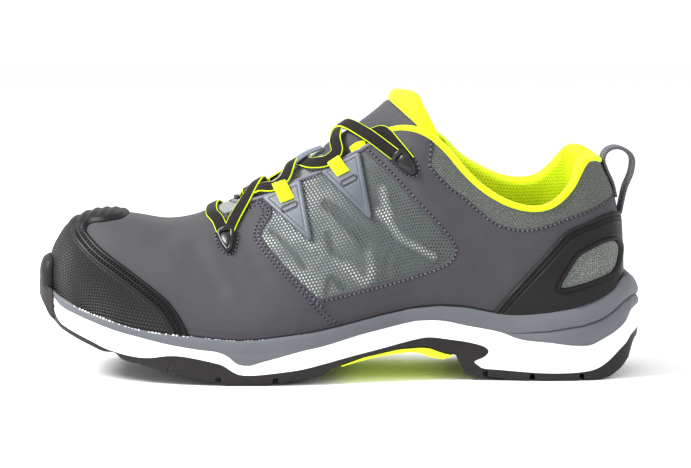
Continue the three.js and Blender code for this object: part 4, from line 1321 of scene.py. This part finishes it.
def toe_rubber(others):
    """The sole's front wall below the bumper, which is all rubber and reaches further down."""
    across = np.abs(contour[:, 0] - BUMPER_MIDDLE)
    tip = 1 - smooth_step(BUMPER_HALF * 0.65, BUMPER_HALF * 1.25, across)
    y = contour[:, 1]
    ground = height_at(GROUND, y)
    lowered = np.minimum(np.interp(y, TOE_LINE["y"], TOE_LINE["z"]), ground)
    low = ground + (lowered - ground) * tip
    high = height_at(BITE, y)
    rings = []
    for up, out in TOE_PROFILE:
        moved = contour + contour_out * (out + TOE_OUT * tip)[:, None]
        rings.append(np.column_stack([moved, low + (high - low) * up]))
    piece = ring_mesh("toe_rubber", rings)
    sides = (BUMPER_MIDDLE - TOE_WALL_HALF, BUMPER_MIDDLE + TOE_WALL_HALF)
    zone = prism_mesh("zone", TOE_WALL, *sides)
    for other in others:
        boolean(other, zone, "DIFFERENCE")
    discard(zone)
    top = spline(line_of(TREAD_TOP), 4)
    top = top[(top[:, 0] > TOE_WALL[1][0]) & (top[:, 0] < TOE_END)]
    front = [(TOE_END, 0), (-LENGTH, 0), (-LENGTH, BODY_HEIGHT), *TOE_WALL[4:0:-1]]
    cut_away(piece, prism_mesh("zone", np.concatenate([front, top]), *sides), "INTERSECT")
    sole_piece(piece, rubber)


def make_sole():
    block = sole_block("sole_block")
    tread = sole_layer("outsole_rubber", block, GROUND, TREAD_TOP, CLEARANCE / 2)
    foam = sole_layer("midsole_white", block, TREAD_TOP, FOAM_TOP, CLEARANCE / 2)
    carrier = sole_layer("midsole_grey", block, FOAM_TOP, BITE, 0)
    discard(block)
    toe_rubber((foam, carrier))
    cup_edge = moved_contour(-RIM_MARGIN - RIM_WIDTH)
    bed = height_at(FOOTBED, cup_edge[:, 1])
    levels = [bed, np.full(len(bed), BODY_HEIGHT)]
    cut_away(carrier, ring_mesh("cup", [np.column_stack([cup_edge, z]) for z in levels]))
    cut_tread(tread)
    sole_piece(tread, rubber, "outsole")
    sole_piece(foam, white_foam, "midsole")
    sole_piece(carrier, grey_foam, "midsole_carrier")


def make_insole():
    inset = RIM_MARGIN + RIM_WIDTH + CLEARANCE
    bed = height_at(FOOTBED, moved_contour(-inset)[:, 1]) + CLEARANCE
    rings = []
    for further, lift in ((0, 0), (0, 0.6), (0, 0.85), (0.6, 1)):
        rings.append(np.column_stack([moved_contour(-inset - further), bed + INSOLE_THICKNESS * lift]))
    sole_piece(ring_mesh("insole_cloth", rings), insole_cloth, "insole")


def make_bumper():
    """Rubber of the outsole drawn up over the tip of the toe, thinner at its foot and top."""
    surface = Surface(rows=(0, 0.35), density=(3, 1))
    x, y, z = surface.points.T
    across = np.abs(x - BUMPER_MIDDLE)
    aside = np.maximum(across - BUMPER_HALF + BUMPER_ROUND, 0)
    over = np.hypot(aside, np.maximum(z - BUMPER_TOP + BUMPER_ROUND, 0))
    field = np.minimum(BUMPER_ROUND - over, BUMPER_HALF - across)
    field = np.minimum(field, BUMPER_BACK - y)
    field = np.minimum(field, z - BUMPER_FOOT)
    field = surface.trim(field, (0, 0.7, 2))
    inner = UPPER_WALL + 2 * CLEARANCE + OVERLAY_WALL
    edge = np.clip(field / 2, 0, 1)
    top = inner + BUMPER_EDGE + (BUMPER_WALL - BUMPER_EDGE) * np.sqrt(1 - (1 - edge) ** 2)
    z = surface.points[:, 2]
    below = np.clip((BUMPER_BEND - z) / (BUMPER_BEND - BUMPER_FOOT), 0, 1)
    above = np.clip((z - BUMPER_HEAD) / (BUMPER_TOP - BUMPER_HEAD), 0, 1)
    top -= BUMPER_FOOT_TAPER * below**2 + BUMPER_TOP_TAPER * above**2
    top = np.maximum(top, inner - 0.2)
    obj = shell("toe_bumper", surface, top, inner - 0.3, rubber)


# Upper
def bite_height(y):
    return np.interp(y, BITE_LINE[:, 0], BITE_LINE[:, 1])


def above_bite(surface, spare=CLEARANCE):
    y, z = surface.view.T
    return z - bite_height(y) - spare


def collar_opening(side):
    """The region over the throat's and collar's edge of one side."""
    rise = COLLAR["outer" if side == OUTER else "inner"] * BODY_HEIGHT
    edge = spline(np.stack([along_length(COLLAR["at"]), rise], axis=1), 6)
    high = 3 * BODY_HEIGHT
    return np.concatenate([edge, [(LENGTH, edge[-1, 1]), (LENGTH, high), (edge[0, 0], high)]])


def under_edge(view, side):
    """How far (y, z) points of a side lie under its throat's and collar's edge."""
    outer, inner = [-distance_inside(view, collar_opening(s)) for s in (OUTER, INNER)]
    return np.where(side > 0, outer, inner)


def below_collar(surface):
    return under_edge(surface.view, surface.side)


def body_line(rows, steps=5):
    points = np.stack([along_length(rows["at"]), rows["up"] * BODY_HEIGHT], axis=1)
    return spline(points, steps, closed=True)


def inside(surface, outline):
    return distance_inside(surface.view, outline)


def creases(view):
    """Height of the soft troughs and ridges that the leather has from wear and lasting."""
    total = np.zeros(len(view))
    for (ay, az), (by, bz), width, height in CREASES:
        line = np.array([(ay, az), (by, bz)])
        total += height * np.exp(-((distance_to_line(view, line) / width) ** 2))
    return total


def rounded(field, edge, depth):
    """How far a top falls towards its edge."""
    share = np.clip(field / edge, 0, 1)
    return -depth * (1 - np.sqrt(np.maximum(1 - (1 - share) ** 2, 0)))


def make_base():
    """The cloth under the leather, of the upper's own outline."""
    surface = Surface(density=(1, 0.5))
    surface.trim(np.minimum(above_bite(surface), below_collar(surface)))
    obj = shell("upper_base", surface, UPPER_WALL - 1.5, 0, inner_cloth)
    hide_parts("upper")


def make_leather():
    surface = Surface(density=(1.2, 0.75))
    field = np.minimum(above_bite(surface), below_collar(surface) - 0.6)
    for outline in (MESH_PANEL, THROAT_PANEL, COLLAR_PANEL):
        field = np.minimum(field, -inside(surface, outline))
    field = surface.trim(field, (0, 0.35, 1.1))
    top = UPPER_WALL + 0.1 + rounded(field, 1.1, 0.7) + creases(surface.view)
    top -= 0.35 * np.exp(-(((field - 2.2) / 0.8) ** 2))
    obj = shell("quarter_leather", surface, top, UPPER_WALL - 1.6, leather)


def relief_of(view):
    """Height of the panel's pressed ridges and troughs, from -1 to 1."""
    total = np.zeros(len(view))
    for line, width, height in MESH_RELIEF:
        distance = distance_to_line(view, spline(np.array(line, dtype=float), 6))
        total += height * np.exp(-((distance / width) ** 2))
    return total


def make_mesh_panel():
    surface = Surface(rows=(0.2, 0.75), density=(2.4, 1.5))
    field = inside(surface, MESH_PANEL) + 1.5
    field = np.minimum(field, below_collar(surface) - 0.8)
    field = surface.trim(field, (0, 2.8))
    relief = relief_of(surface.view)
    top = UPPER_WALL - 0.7 + 0.5 * relief * smooth_step(1.5, 5, field)
    # Painted light of the mesh holes: lighter on the ridges, darker in the troughs and darker towards
    # the heel, away from the key light.
    grain_and_painted_light = 0.62 + 0.4 * relief - 0.42 * smooth_step(-35, 45, surface.view[:, 0])
    obj = shell("side_mesh_panel", surface, top, UPPER_WALL - 1.7, side_mesh, layers={"relief": grain_and_painted_light})


def cloth_panel(name, rows, outline, material):
    surface = Surface(rows=rows, density=(2, 1.2))
    surface.trim(np.minimum(inside(surface, outline) + 1.4, below_collar(surface) - 1.0))
    puff = 0.5 * smooth_step(0, 8, below_collar(surface))
    obj = shell(name, surface, UPPER_WALL - 0.7 + puff, UPPER_WALL - 1.6, material)


# Edges of the overlays: distance inwards and height, with the grooves in which the seams lie
CAP_EDGE = table(
    "out up",
    (0, -1.2), (0.35, -0.35), (0.9, 0), (1.5, 0), (1.9, -0.8), (2.5, -0.8), (2.9, -0.02),
    (3.5, -0.02), (3.9, -0.8), (4.5, -0.8), (4.9, -0.1), (5.8, -0.1), (6.3, -0.35),
)
COUNTER_EDGE = table(
    "out up",
    (0, -1.2), (0.35, -0.35), (0.9, 0), (1.5, 0), (1.9, -0.5), (2.4, -0.5), (2.8, -0.1),
    (3.3, -0.1), (3.7, -0.55), (4.2, -0.55), (4.7, -0.1), (5.6, -0.35),
)
WINDOW_EDGE = table(
    "out up",
    (0, -1.1), (0.4, 0.1), (0.9, 0.5), (1.6, 0.5), (2.0, -0.6), (2.5, -0.6), (2.9, -0.35),
)
PLATE_EDGE = table(
    "out up",
    (0, -0.7), (0.4, -0.15), (1.0, 0), (1.9, 0), (2.3, -0.25), (2.7, -0.1),
)


def edge_height(field, edge):
    return np.interp(field, edge["out"], edge["up"])


def make_toe_cap():
    """Studded overlay whose top has ribs across it, in place of studs and seams."""
    surface = Surface(rows=(0, 0.42), density=(2, 1.1))
    surface.store(above_bite(surface))
    surface.store(surface.split(inside(surface, body_line(TOE_CAP)), CAP_EDGE["out"]))
    surface.trim(surface.stored(0))
    edge = surface.stored(1)
    y, z = surface.view.T
    crown = smooth_step(67, 72, z)
    plain_edge = -1.2 * (1 - smooth_step(0, 1.2, edge))
    top = UPPER_WALL + OVERLAY_WALL + CLEARANCE
    top = top + edge_height(edge, CAP_EDGE) * (1 - crown) + plain_edge * crown
    ribs = np.abs(np.sin((y - 0.25 * z) * math.pi / CAP_RIB))
    top += crown * smooth_step(1.2, 2.5, edge) * (0.9 * ribs - 0.35)
    field = smooth_step(6.2, 7.4, edge) * (1 - smooth_step(67, 71, z))
    obj = shell("toe_cap_overlay", surface, top, UPPER_WALL + 0.05, studs, 40, {"studs": field})
    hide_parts("toe_cap")


def make_counter():
    """Smooth overlay with a raised rim round its window, and the cloth in the window."""
    surface = Surface(rows=(0.5, 1), density=(1.6, 1.1))
    opening = body_line(COUNTER_WINDOW, 4)
    surface.store(above_bite(surface), WINDOW_RIM - inside(surface, opening))
    surface.store(surface.split(inside(surface, body_line(COUNTER, 3)), COUNTER_EDGE["out"]))
    surface.store(surface.split(surface.stored(1), WINDOW_EDGE["out"]))
    surface.trim(surface.stored(0))
    edge, window = surface.stored(2), surface.stored(3)
    top = UPPER_WALL + OVERLAY_WALL + CLEARANCE
    rim = window < WINDOW_EDGE["out"][-1]
    top = top + np.where(rim, edge_height(window, WINDOW_EDGE), edge_height(edge, COUNTER_EDGE))
    obj = shell("heel_counter_overlay", surface, top, UPPER_WALL + 0.05, overlay, 40)
    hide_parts("heel_counter")
    pane = Surface(rows=(0.5, 1), density=(2, 1.2))
    pane.trim(inside(pane, opening) - WINDOW_RIM + 0.8)
    obj = shell("counter_window", pane, UPPER_WALL + 0.55, UPPER_WALL + 0.1, window_cloth)


# Tongue and collar
def pillow(field, edge, thickness, top, bottom):
    """Top and bottom of a padded piece whose rims round off."""
    share = np.clip(field / edge, 0, 1)
    fall = (top - bottom) / 2 * (1 - np.sqrt(np.maximum(1 - (1 - share) ** 2, 0)))
    return top - fall * thickness, bottom + fall * thickness


def line_side(view, start, end):
    """Distance of (y, z) points to the left of a straight line."""
    along = np.subtract(end, start) / np.linalg.norm(np.subtract(end, start))
    return along[0] * (view[:, 1] - start[1]) - along[1] * (view[:, 0] - start[0])


def tongue_part(name, limits, material, lift=0.0, rim=3.0):
    """Padded part of the tongue. limits hold a line, its side as a sign, and a reach past it."""
    surface = Surface(rows=(0.25, 0.85), density=(1.6, 0.9))
    field = inside(surface, body_line(TONGUE, 4))
    for line, sign, reach in limits:
        field = np.minimum(field, sign * line_side(surface.view, *line) + reach)
    field = surface.trim(field, (0, 0.3, 1.2, rim))
    top, bottom = pillow(field, rim, 0.8, lift - CLEARANCE, -CLEARANCE - TONGUE_WALL)
    top = top + 0.8 * creases(surface.view)
    obj = shell(name, surface, top, bottom, material)
    return obj


def make_tongue():
    """Leather between the front seam and the rim, cloth in front and the yellow rim."""
    leather_limits = ((TONGUE_RIM, -1, 0), (TONGUE_SEAM, -1, 0))
    leather_part = tongue_part("tongue_leather", leather_limits, leather, 0.5)
    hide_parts("tongue")
    tongue_part("tongue_cloth", ((TONGUE_SEAM, 1, 1.5),), tongue_cloth)
    tongue_part("tongue_rim", ((TONGUE_RIM, 1, 0.4),), yellow_rim, 1.3, 3.5)


def make_lining():
    surface = Surface(rows=(0.5, 1), density=(1.5, 0.9))
    field = np.minimum(below_collar(surface) + 1.0, inside(surface, LINING))
    field = surface.trim(field, (0, 1.0, 3.0))
    top, bottom = pillow(field, 3.0, 0.9, -CLEARANCE, -CLEARANCE - COLLAR_PAD)
    obj = shell("collar_lining_cloth", surface, top, bottom, yellow_cloth, 60)
    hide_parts("collar_lining")


def collar_chain(offset):
    """The collar's edge as one chain of points, from the outer throat round the heel."""
    surface = Surface(rows=(0.45, 1), density=(1.5, 1))
    chains = isolines(surface, below_collar(surface) - offset)
    chain = max(chains, key=len)
    return chain[chain[:, 1] > COLLAR_START]


def make_collar_roll():
    """Yellow roll over the collar's edge, in front of which the padding lies."""
    chain = resample(ordered(collar_chain(0.2)), 2.0)
    thick = UPPER_WALL + 0.7 + CLEARANCE + COLLAR_PAD * 0.55
    centre = chain[:, :3] + chain[:, 3:6] * (UPPER_WALL + 0.7 - thick / 2)
    section = round_section(1.75, thick / 2, 16, 0.8)
    obj = sweep("collar_roll", centre, chain[:, 3:6], section, yellow_rim)


def ordered(chain):
    """A chain that runs from its outer front end."""
    return chain if chain[0, 0] > chain[-1, 0] else chain[::-1]


def make_throat_piping():
    surface = Surface(rows=(0.2, 0.75), density=(1.5, 1))
    section = round_section(1.0, 1.1, 8)
    objects = []
    for chain in isolines(surface, below_collar(surface) - 0.6):
        chain = chain[(chain[:, 1] > PIPING_RUN[0]) & (chain[:, 1] < PIPING_RUN[1])]
        for side in (OUTER, INNER):
            part = chain[chain[:, 6] * side > 0]
            if len(part) > 8:
                part = resample(part, 1.2)
                centre = part[:, :3] + part[:, 3:6] * (UPPER_WALL - 0.3)
                objects.append(sweep("piping", centre, part[:, 3:6], section, piping))
    obj = join("throat_piping", objects)


# Pieces placed by a patch of the side view
def patch(name, corners, side, heights, material, across, along):
    """A closed patch over the last. corners run round it, and heights(u, v) gives bottom and top."""
    a, b, c, d = [np.array(corner, dtype=float) for corner in corners]
    u, v = np.meshgrid(np.linspace(0, 1, across + 1), np.linspace(0, 1, along + 1), indexing="ij")
    u, v = u.ravel()[:, None], v.ravel()[:, None]
    view = (a * (1 - u) + b * u) * (1 - v) + (d * (1 - u) + c * u) * v
    found = [on_last(y, z, side) for y, z in view]
    point, normal = np.array([f[0] for f in found]), np.array([f[1] for f in found])
    bottom, top = heights(u[:, 0], v[:, 0])
    upper, lower = point + normal * top[:, None], point + normal * bottom[:, None]
    count = len(point)
    triangles = grid_triangles(across + 1, along + 1)
    rim = boundary_edges(triangles)
    walls = np.column_stack([rim[:, 1], rim[:, 0], rim[:, 0] + count, rim[:, 1] + count])
    faces = [tuple(t) for t in triangles] + [tuple(t) for t in triangles[:, ::-1] + count]
    faces += [tuple(w) for w in walls]
    uv = np.column_stack([v * np.linalg.norm(d - a), u * np.linalg.norm(b - a)])
    obj = make_object(name, np.concatenate([upper, lower]), faces, uv=np.tile(uv, (2, 1)))
    fix_facing(obj)
    paint(obj, material)
    shade(obj, 45)
    return obj


def place_label(index, side):
    return ("outer" if side == OUTER else "inner") + "_" + str(index + 1)


def plate_mark(view, index):
    """Distance from the slot that is pressed into a lace plate."""
    centre, tilt = PLATE_MARKS[index]
    along = np.array([math.cos(tilt), math.sin(tilt)]) * 3.0
    line = np.array([centre - along, centre + along])
    return np.abs(distance_to_line(view, line) - 1.2)


def make_lace_plate(index, side):
    """Moulded triangle: a bevelled border round a sunk middle, with a dark slot."""
    label = place_label(index, side)
    outline = rounded_outline(PLATES[index], 1.6)
    around = (0, 0.5) if side == OUTER else (0.5, 1)
    surface = Surface(rows=(0.25, 0.7), density=(4, 3), around=around)
    for level in (0.3, 0.6):
        surface.cut(plate_mark(surface.view, index), level, keep_both=True)
    edge = np.minimum(inside(surface, outline), below_collar(surface) + 0.3)
    edge = surface.trim(edge, PLATE_EDGE["out"])
    mark = plate_mark(surface.view, index)
    top = UPPER_WALL + CLEARANCE + PLATE_WALL + edge_height(edge, PLATE_EDGE)
    top -= 0.35 * (1 - smooth_step(0.25, 0.6, mark))
    dark = 1 - smooth_step(0.3, 0.6, mark)
    obj = shell("plate_" + label, surface, top, UPPER_WALL + 0.1, grey_plastic, 40, {"mark": dark})
    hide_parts("lace_plate_" + label)


def rounded_outline(points, radius):
    """A closed outline with its corners rounded."""
    points = np.array(points, dtype=float)
    out = []
    for i, corner in enumerate(points):
        before, after = points[i - 1], points[(i + 1) % len(points)]
        into = (before - corner) / np.linalg.norm(before - corner)
        away = (after - corner) / np.linalg.norm(after - corner)
        reach = radius / math.tan(math.acos(np.clip(into @ away, -1, 1)) / 2)
        reach = min(reach, 4 * radius)
        start, end = corner + into * reach, corner + away * reach
        for t in np.linspace(0, 1, 6):
            out.append(start * (1 - t) ** 2 + corner * 2 * t * (1 - t) + end * t * t)
    return np.array(out)


def make_webbing_loop(index, side):
    """Ribbed strap, sewn to its plate and bent over the lace at the throat's edge."""
    label = place_label(index, side)
    base = UPPER_WALL + 2 * CLEARANCE + PLATE_WALL

    def heights(u, v):
        front = np.sqrt(np.clip(1 - ((0.22 - v) / 0.22) ** 2, 0, 1))
        arch = np.where(v < 0.22, front, 1 - smooth_step(0.22, 0.85, v))
        edge = 1 - np.abs(2 * u - 1) ** 8
        rib = 0.12 * np.sin(v * 2 * math.pi * 8)
        top = base + 0.6 + 1.5 * arch + rib
        return np.full(len(u), base - 0.5), top - 0.4 * (1 - edge)

    obj = patch("loop_" + label, LOOPS[index], side, heights, yellow_webbing, 10, 64)
    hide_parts("lace_loop_" + label)


def hook_frame(centre, tilt, side):
    """Place of a hook on the last, its normal, and its directions down and across."""
    point, normal = on_last(*centre, side)
    down = np.array([0, math.cos(tilt), math.sin(tilt)])
    down -= normal * (down @ normal)
    down /= np.linalg.norm(down)
    return point, normal, down, np.cross(normal, down)


def make_ring(index, side):
    """Moulded hook: a bar under which the lace turns, and a body that tapers to a tip."""
    label = place_label(index, side)
    point, normal, down, across = hook_frame(*RINGS[index], side)
    along, wide, high, size = np.array(RING_PATH).T[:, :, None]
    path = point + down * along + across * wide + normal * (UPPER_WALL + high)
    path = spline(path, 5, closed=True)
    section = round_section(1, 1, 10) * spline(size, 5, closed=True)[:, :, None]
    normals = np.tile(normal, (len(path), 1))
    wire = sweep("ring_wire", path, normals, section, black_gloss, closed=True)
    a, b = round_section(1, 1, HOOK_SIDES).T[:, :, None]
    rings = []
    for lift, grow in HOOK_BODY:
        centre = point + normal * (UPPER_WALL + lift)
        rings.append(centre + down * (0.8 + a * 5.8 * grow) + across * b * (3.3 - 1.2 * a) * grow)
    count = HOOK_SIDES
    ends = [tuple(range(count))[::-1], tuple((len(rings) - 1) * count + k for k in range(count))]
    body = make_object("ring_body", np.concatenate(rings), ring_faces(len(rings), count) + ends)
    fix_facing(body)
    paint(body, black_gloss)
    shade(body, 60)
    obj = join("hook_" + label, [wire, body])
    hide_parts("lace_ring_" + label)


# Laces
LACE_SECTION = round_section(LACE_WIDTH / 2, LACE_THICKNESS / 2, 16, 0.55)


def lace_points(rows):
    """Path of a strand. Rows hold a kind of place, its two coordinates and a height."""
    points, normals = [], []
    for kind, first, second, height in rows:
        if kind == "top":
            point, normal = from_above(first, second)
        else:
            point, normal = on_last(first, second, OUTER if kind == "outer" else INNER)
        points.append(point + normal * height)
        normals.append(normal)
    return spline(np.array(points), 10), spline(np.array(normals), 10)


def make_laces():
    strands = []
    for rows in LACE_STRANDS:
        path, normals = lace_points(rows)
        strands.append(sweep("strand", path, normals, LACE_SECTION, lace_cloth, angle=70))
    obj = join("lace", strands)
    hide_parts("lace_bar", "lace_cross_1", "lace_cross_2", "lace_cross_3")


# Pull loop and small straps
def make_pull_loop():
    path = spline(PULL_LOOP, 10)
    along = np.gradient(path, axis=0)
    along /= np.linalg.norm(along, axis=1, keepdims=True)
    normals = np.column_stack([np.zeros(len(path)), -along[:, 1], along[:, 0]])
    path = np.column_stack([np.zeros(len(path)), path])
    section = round_section(LOOP_WIDTH / 2, LOOP_THICKNESS / 2, 20, 0.35)
    obj = sweep("heel_pull_loop", path, normals, section, grey_webbing)
    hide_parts("pull_loop")


def make_tongue_straps():
    """Pale webbing along the front edge of the tongue's leather, and the yellow keeper."""
    path, normals = lace_points(TONGUE_WEBBING)
    strap = sweep("tongue_webbing", path, normals, round_section(3.0, 0.6, 12, 0.5), pale_webbing)
    path, normals = lace_points(KEEPER)
    keeper = sweep("lace_keeper", path, normals, round_section(2.3, 0.6, 12, 0.5), yellow_webbing)


# Seams
def seam_chains(line):
    """A line of the side view laid on both sides of the last."""
    chains = []
    for side in (OUTER, INNER):
        found = [on_last(y, z, side) for y, z in spline(line, 8)]
        chains.append(np.array([np.concatenate([p, n, [side]]) for p, n in found]))
    return chains


def line_chains(surface, field, level, keep):
    """Isolines of a field, without the points that keep turns down."""
    chains = []
    for chain in isolines(surface, field, level):
        good = keep(chain)
        start = 0
        for end in range(1, len(chain) + 1):
            if end == len(chain) or good[end] != good[start]:
                if good[start] and end - start > 4:
                    chains.append(chain[start:end])
                start = end
    return chains


def alternate(name, chains, height):
    """Dark stitches with a painted highlight between them: a row of paler stitches just under the dark
    ones.
    """
    dark = stitches(name, chains, height, dark_thread)
    pale = stitches(name + "_pale", chains, height - 0.16, thread_highlight, HIGHLIGHT_STITCH)


def above_sole(chain):
    return chain[:, 2] > bite_height(chain[:, 1]) + SEAM_SPARE


def on_leather(chain):
    """Whether a seam's points are on the leather, under the throat's edge."""
    return above_sole(chain) & (under_edge(chain[:, 1:3], chain[:, 6]) > 1.5)


def front_edge(chain):
    """The stretch of the panel's seam that is sewn twice: its front, down to the sole."""
    return chain[:, 1] < np.interp(chain[:, 2], PANEL_FRONT["z"], PANEL_FRONT["y"])


def make_seams():
    surface = Surface(density=(1.5, 1))
    height = UPPER_WALL + 0.05
    panel = -inside(surface, MESH_PANEL)
    rows = line_chains(surface, panel, 1.7, on_leather)
    rows += line_chains(surface, panel, 3.6, lambda c: on_leather(c) & front_edge(c))
    alternate("panel_seam", rows, height)
    collar = -inside(surface, COLLAR_PANEL)
    alternate("collar_seam", line_chains(surface, collar, 1.3, on_leather), height)
    throat = -inside(surface, THROAT_PANEL)
    rows = [c for level in (1.3, 3.0) for c in line_chains(surface, throat, level, on_leather)]
    alternate("throat_seam", rows, height)
    rows = [c for line in VAMP_STITCHES for c in seam_chains(line)]
    alternate("vamp_seam", rows, UPPER_WALL + 0.1)


def make_vamp_fold():
    """The leather's raised fold beside the seam that runs from the mesh panel to the sole."""
    tubes = []
    for chain in seam_chains(VAMP_SEAM):
        centre = chain[:, :3] + chain[:, 3:6] * (UPPER_WALL + 0.1)
        tubes.append(sweep("tube", centre, chain[:, 3:6], round_section(0.6, 0.45, 8), leather))
    join("vamp_fold", tubes)


def make_hook_seams():
    chains = []
    for centre, tilt in RINGS:
        for side in (OUTER, INNER):
            point, normal, down, across = hook_frame(centre, tilt, side)
            path = spline([point + down * a + across * b for a, b in HOOK_SEAM], 6)
            chains.append(np.column_stack([path, np.tile([*normal, side], (len(path), 1))]))
    alternate("hook_seam", chains, UPPER_WALL + 0.15)


def make_overlay_seams():
    chains = []
    for rows, outline, levels in (
        ((0, 0.42), body_line(TOE_CAP), (2.2, 4.2)),
        ((0.5, 1), body_line(COUNTER, 3), (2.15, 3.95)),
    ):
        surface = Surface(rows=rows, density=(3, 1.5))
        edge = inside(surface, outline)
        for level in levels:
            chains += line_chains(surface, edge, level, above_sole)
    height = UPPER_WALL + OVERLAY_WALL - 0.15
    obj = stitches("overlay_seam", chains, height, overlay_thread, OVERLAY_STITCH)


def make_glue_line():
    """Specks of cement along the bite line at the toe."""
    surface = Surface(rows=(0, 0.55), density=(1.5, 1.5))
    rng = np.random.default_rng(4)
    frames, sizes = [], []
    for chain in isolines(surface, above_bite(surface, 0.0), 0.25):
        for point, along, normal in chain_frames(resample(chain, GLUE_PITCH)):
            wide = rng.uniform(0.2, 0.5)
            long = rng.uniform(0.6, 1.6)
            if rng.uniform() < GLUE_GAPS or point[1] > GLUE_END:
                continue
            cap = OVERLAY_WALL if point[1] < TOE_CAP_END else 0
            frames.append((point + normal * (UPPER_WALL + cap + 0.3), along, normal))
            sizes.append((long, wide, wide * 0.6))
    obj = capsules("cement_specks", frames, sizes, glue)


def make_arch_plate():
    """Smooth plate under the arch, between the sole's outline and its own side outline."""
    lower = line_of(ARCH_PLATE)
    y = np.linspace(lower[0, 0], lower[-1, 0], 16)
    roof = np.column_stack([y, height_at(GROUND, y) - CLEARANCE])[::-1]
    edge = moved_contour(-ARCH_INSET)
    rings = [np.column_stack([edge, np.full(len(edge), z)]) for z in (0, SOLE_HEIGHT)]
    plate = ring_mesh("arch_plate_smooth", rings)
    cut_away(plate, prism_mesh("zone", np.concatenate([lower, roof])), "INTERSECT")
    sole_piece(plate, yellow_plate, "arch_plate")


# Camera and light
VIEW_ELEVATION = 6.0
VIEW_DISTANCE = 1.1
VIEW_TARGET = (0, 0, 0.066)
PIXELS_PER_MM = 1.993
IMAGE_WIDTH = 691
IMAGE_HEIGHT = 468
TARGET_PIXEL = (339.0, 237.7)
SENSOR = 36.0
WORLD_STRENGTH = 1.02
FLOOR_HALF = 6000
FLOOR_HEIGHT = -0.4
LIGHTS = (("key", (0.25, -0.8, 0.9), 0.5, 26), ("back", (0.5, 0.9, 0.6), 0.5, 3))


def make_camera():
    camera = bpy.data.cameras.new("camera")
    obj = bpy.data.objects.new("camera", camera)
    bpy.context.scene.collection.objects.link(obj)
    tilt = math.radians(VIEW_ELEVATION)
    away = Vector((math.cos(tilt), 0, math.sin(tilt)))
    obj.location = Vector(VIEW_TARGET) + away * VIEW_DISTANCE
    obj.rotation_euler = away.to_track_quat("Z", "Y").to_euler()
    camera.sensor_width = SENSOR
    camera.lens = PIXELS_PER_MM * VIEW_DISTANCE / MM / IMAGE_WIDTH * SENSOR
    camera.shift_x = (IMAGE_WIDTH / 2 - TARGET_PIXEL[0]) / IMAGE_WIDTH
    camera.shift_y = (TARGET_PIXEL[1] - IMAGE_HEIGHT / 2) / IMAGE_WIDTH
    bpy.context.scene.camera = obj


def area_light(name, location, size, power):
    light = bpy.data.lights.new(name, "AREA")
    light.energy = power
    light.size = size
    obj = bpy.data.objects.new(name, light)
    bpy.context.scene.collection.objects.link(obj)
    obj.location = location
    towards = Vector(location) - Vector(VIEW_TARGET)
    obj.rotation_euler = towards.to_track_quat("Z", "Y").to_euler()


def make_studio():
    world = bpy.data.worlds.new("studio")
    bpy.context.scene.world = world
    world.use_nodes = True
    background = world.node_tree.nodes["Background"]
    background.inputs[0].default_value = (1, 1, 1, 1)
    background.inputs[1].default_value = WORLD_STRENGTH
    signs = ((-1, -1), (1, -1), (1, 1), (-1, 1))
    corners = [(x * FLOOR_HALF, y * FLOOR_HALF, FLOOR_HEIGHT) for x, y in signs]
    floor = make_object("floor", corners, [(0, 1, 2, 3)], body=None)
    paint(floor, floor_material())
    for name, location, size, power in LIGHTS:
        area_light(name, location, size, power)


# The shoe, then the stage
make_sole()
make_insole()
make_bumper()
make_arch_plate()
make_base()
make_leather()
make_mesh_panel()
cloth_panel("collar_panel", (0.45, 1), COLLAR_PANEL, collar_cloth)
cloth_panel("throat_panel", (0.2, 0.5), THROAT_PANEL, tongue_cloth)
make_toe_cap()
make_counter()
make_tongue()
make_lining()
make_collar_roll()
make_throat_piping()
for side in (OUTER, INNER):
    for index in (0, 1):
        make_lace_plate(index, side)
        make_webbing_loop(index, side)
        make_ring(index, side)
make_laces()
make_pull_loop()
make_tongue_straps()
make_seams()
make_vamp_fold()
make_hook_seams()
make_overlay_seams()
make_glue_line()
make_camera()
make_studio()
bpy.context.scene.view_settings.view_transform = "Standard"
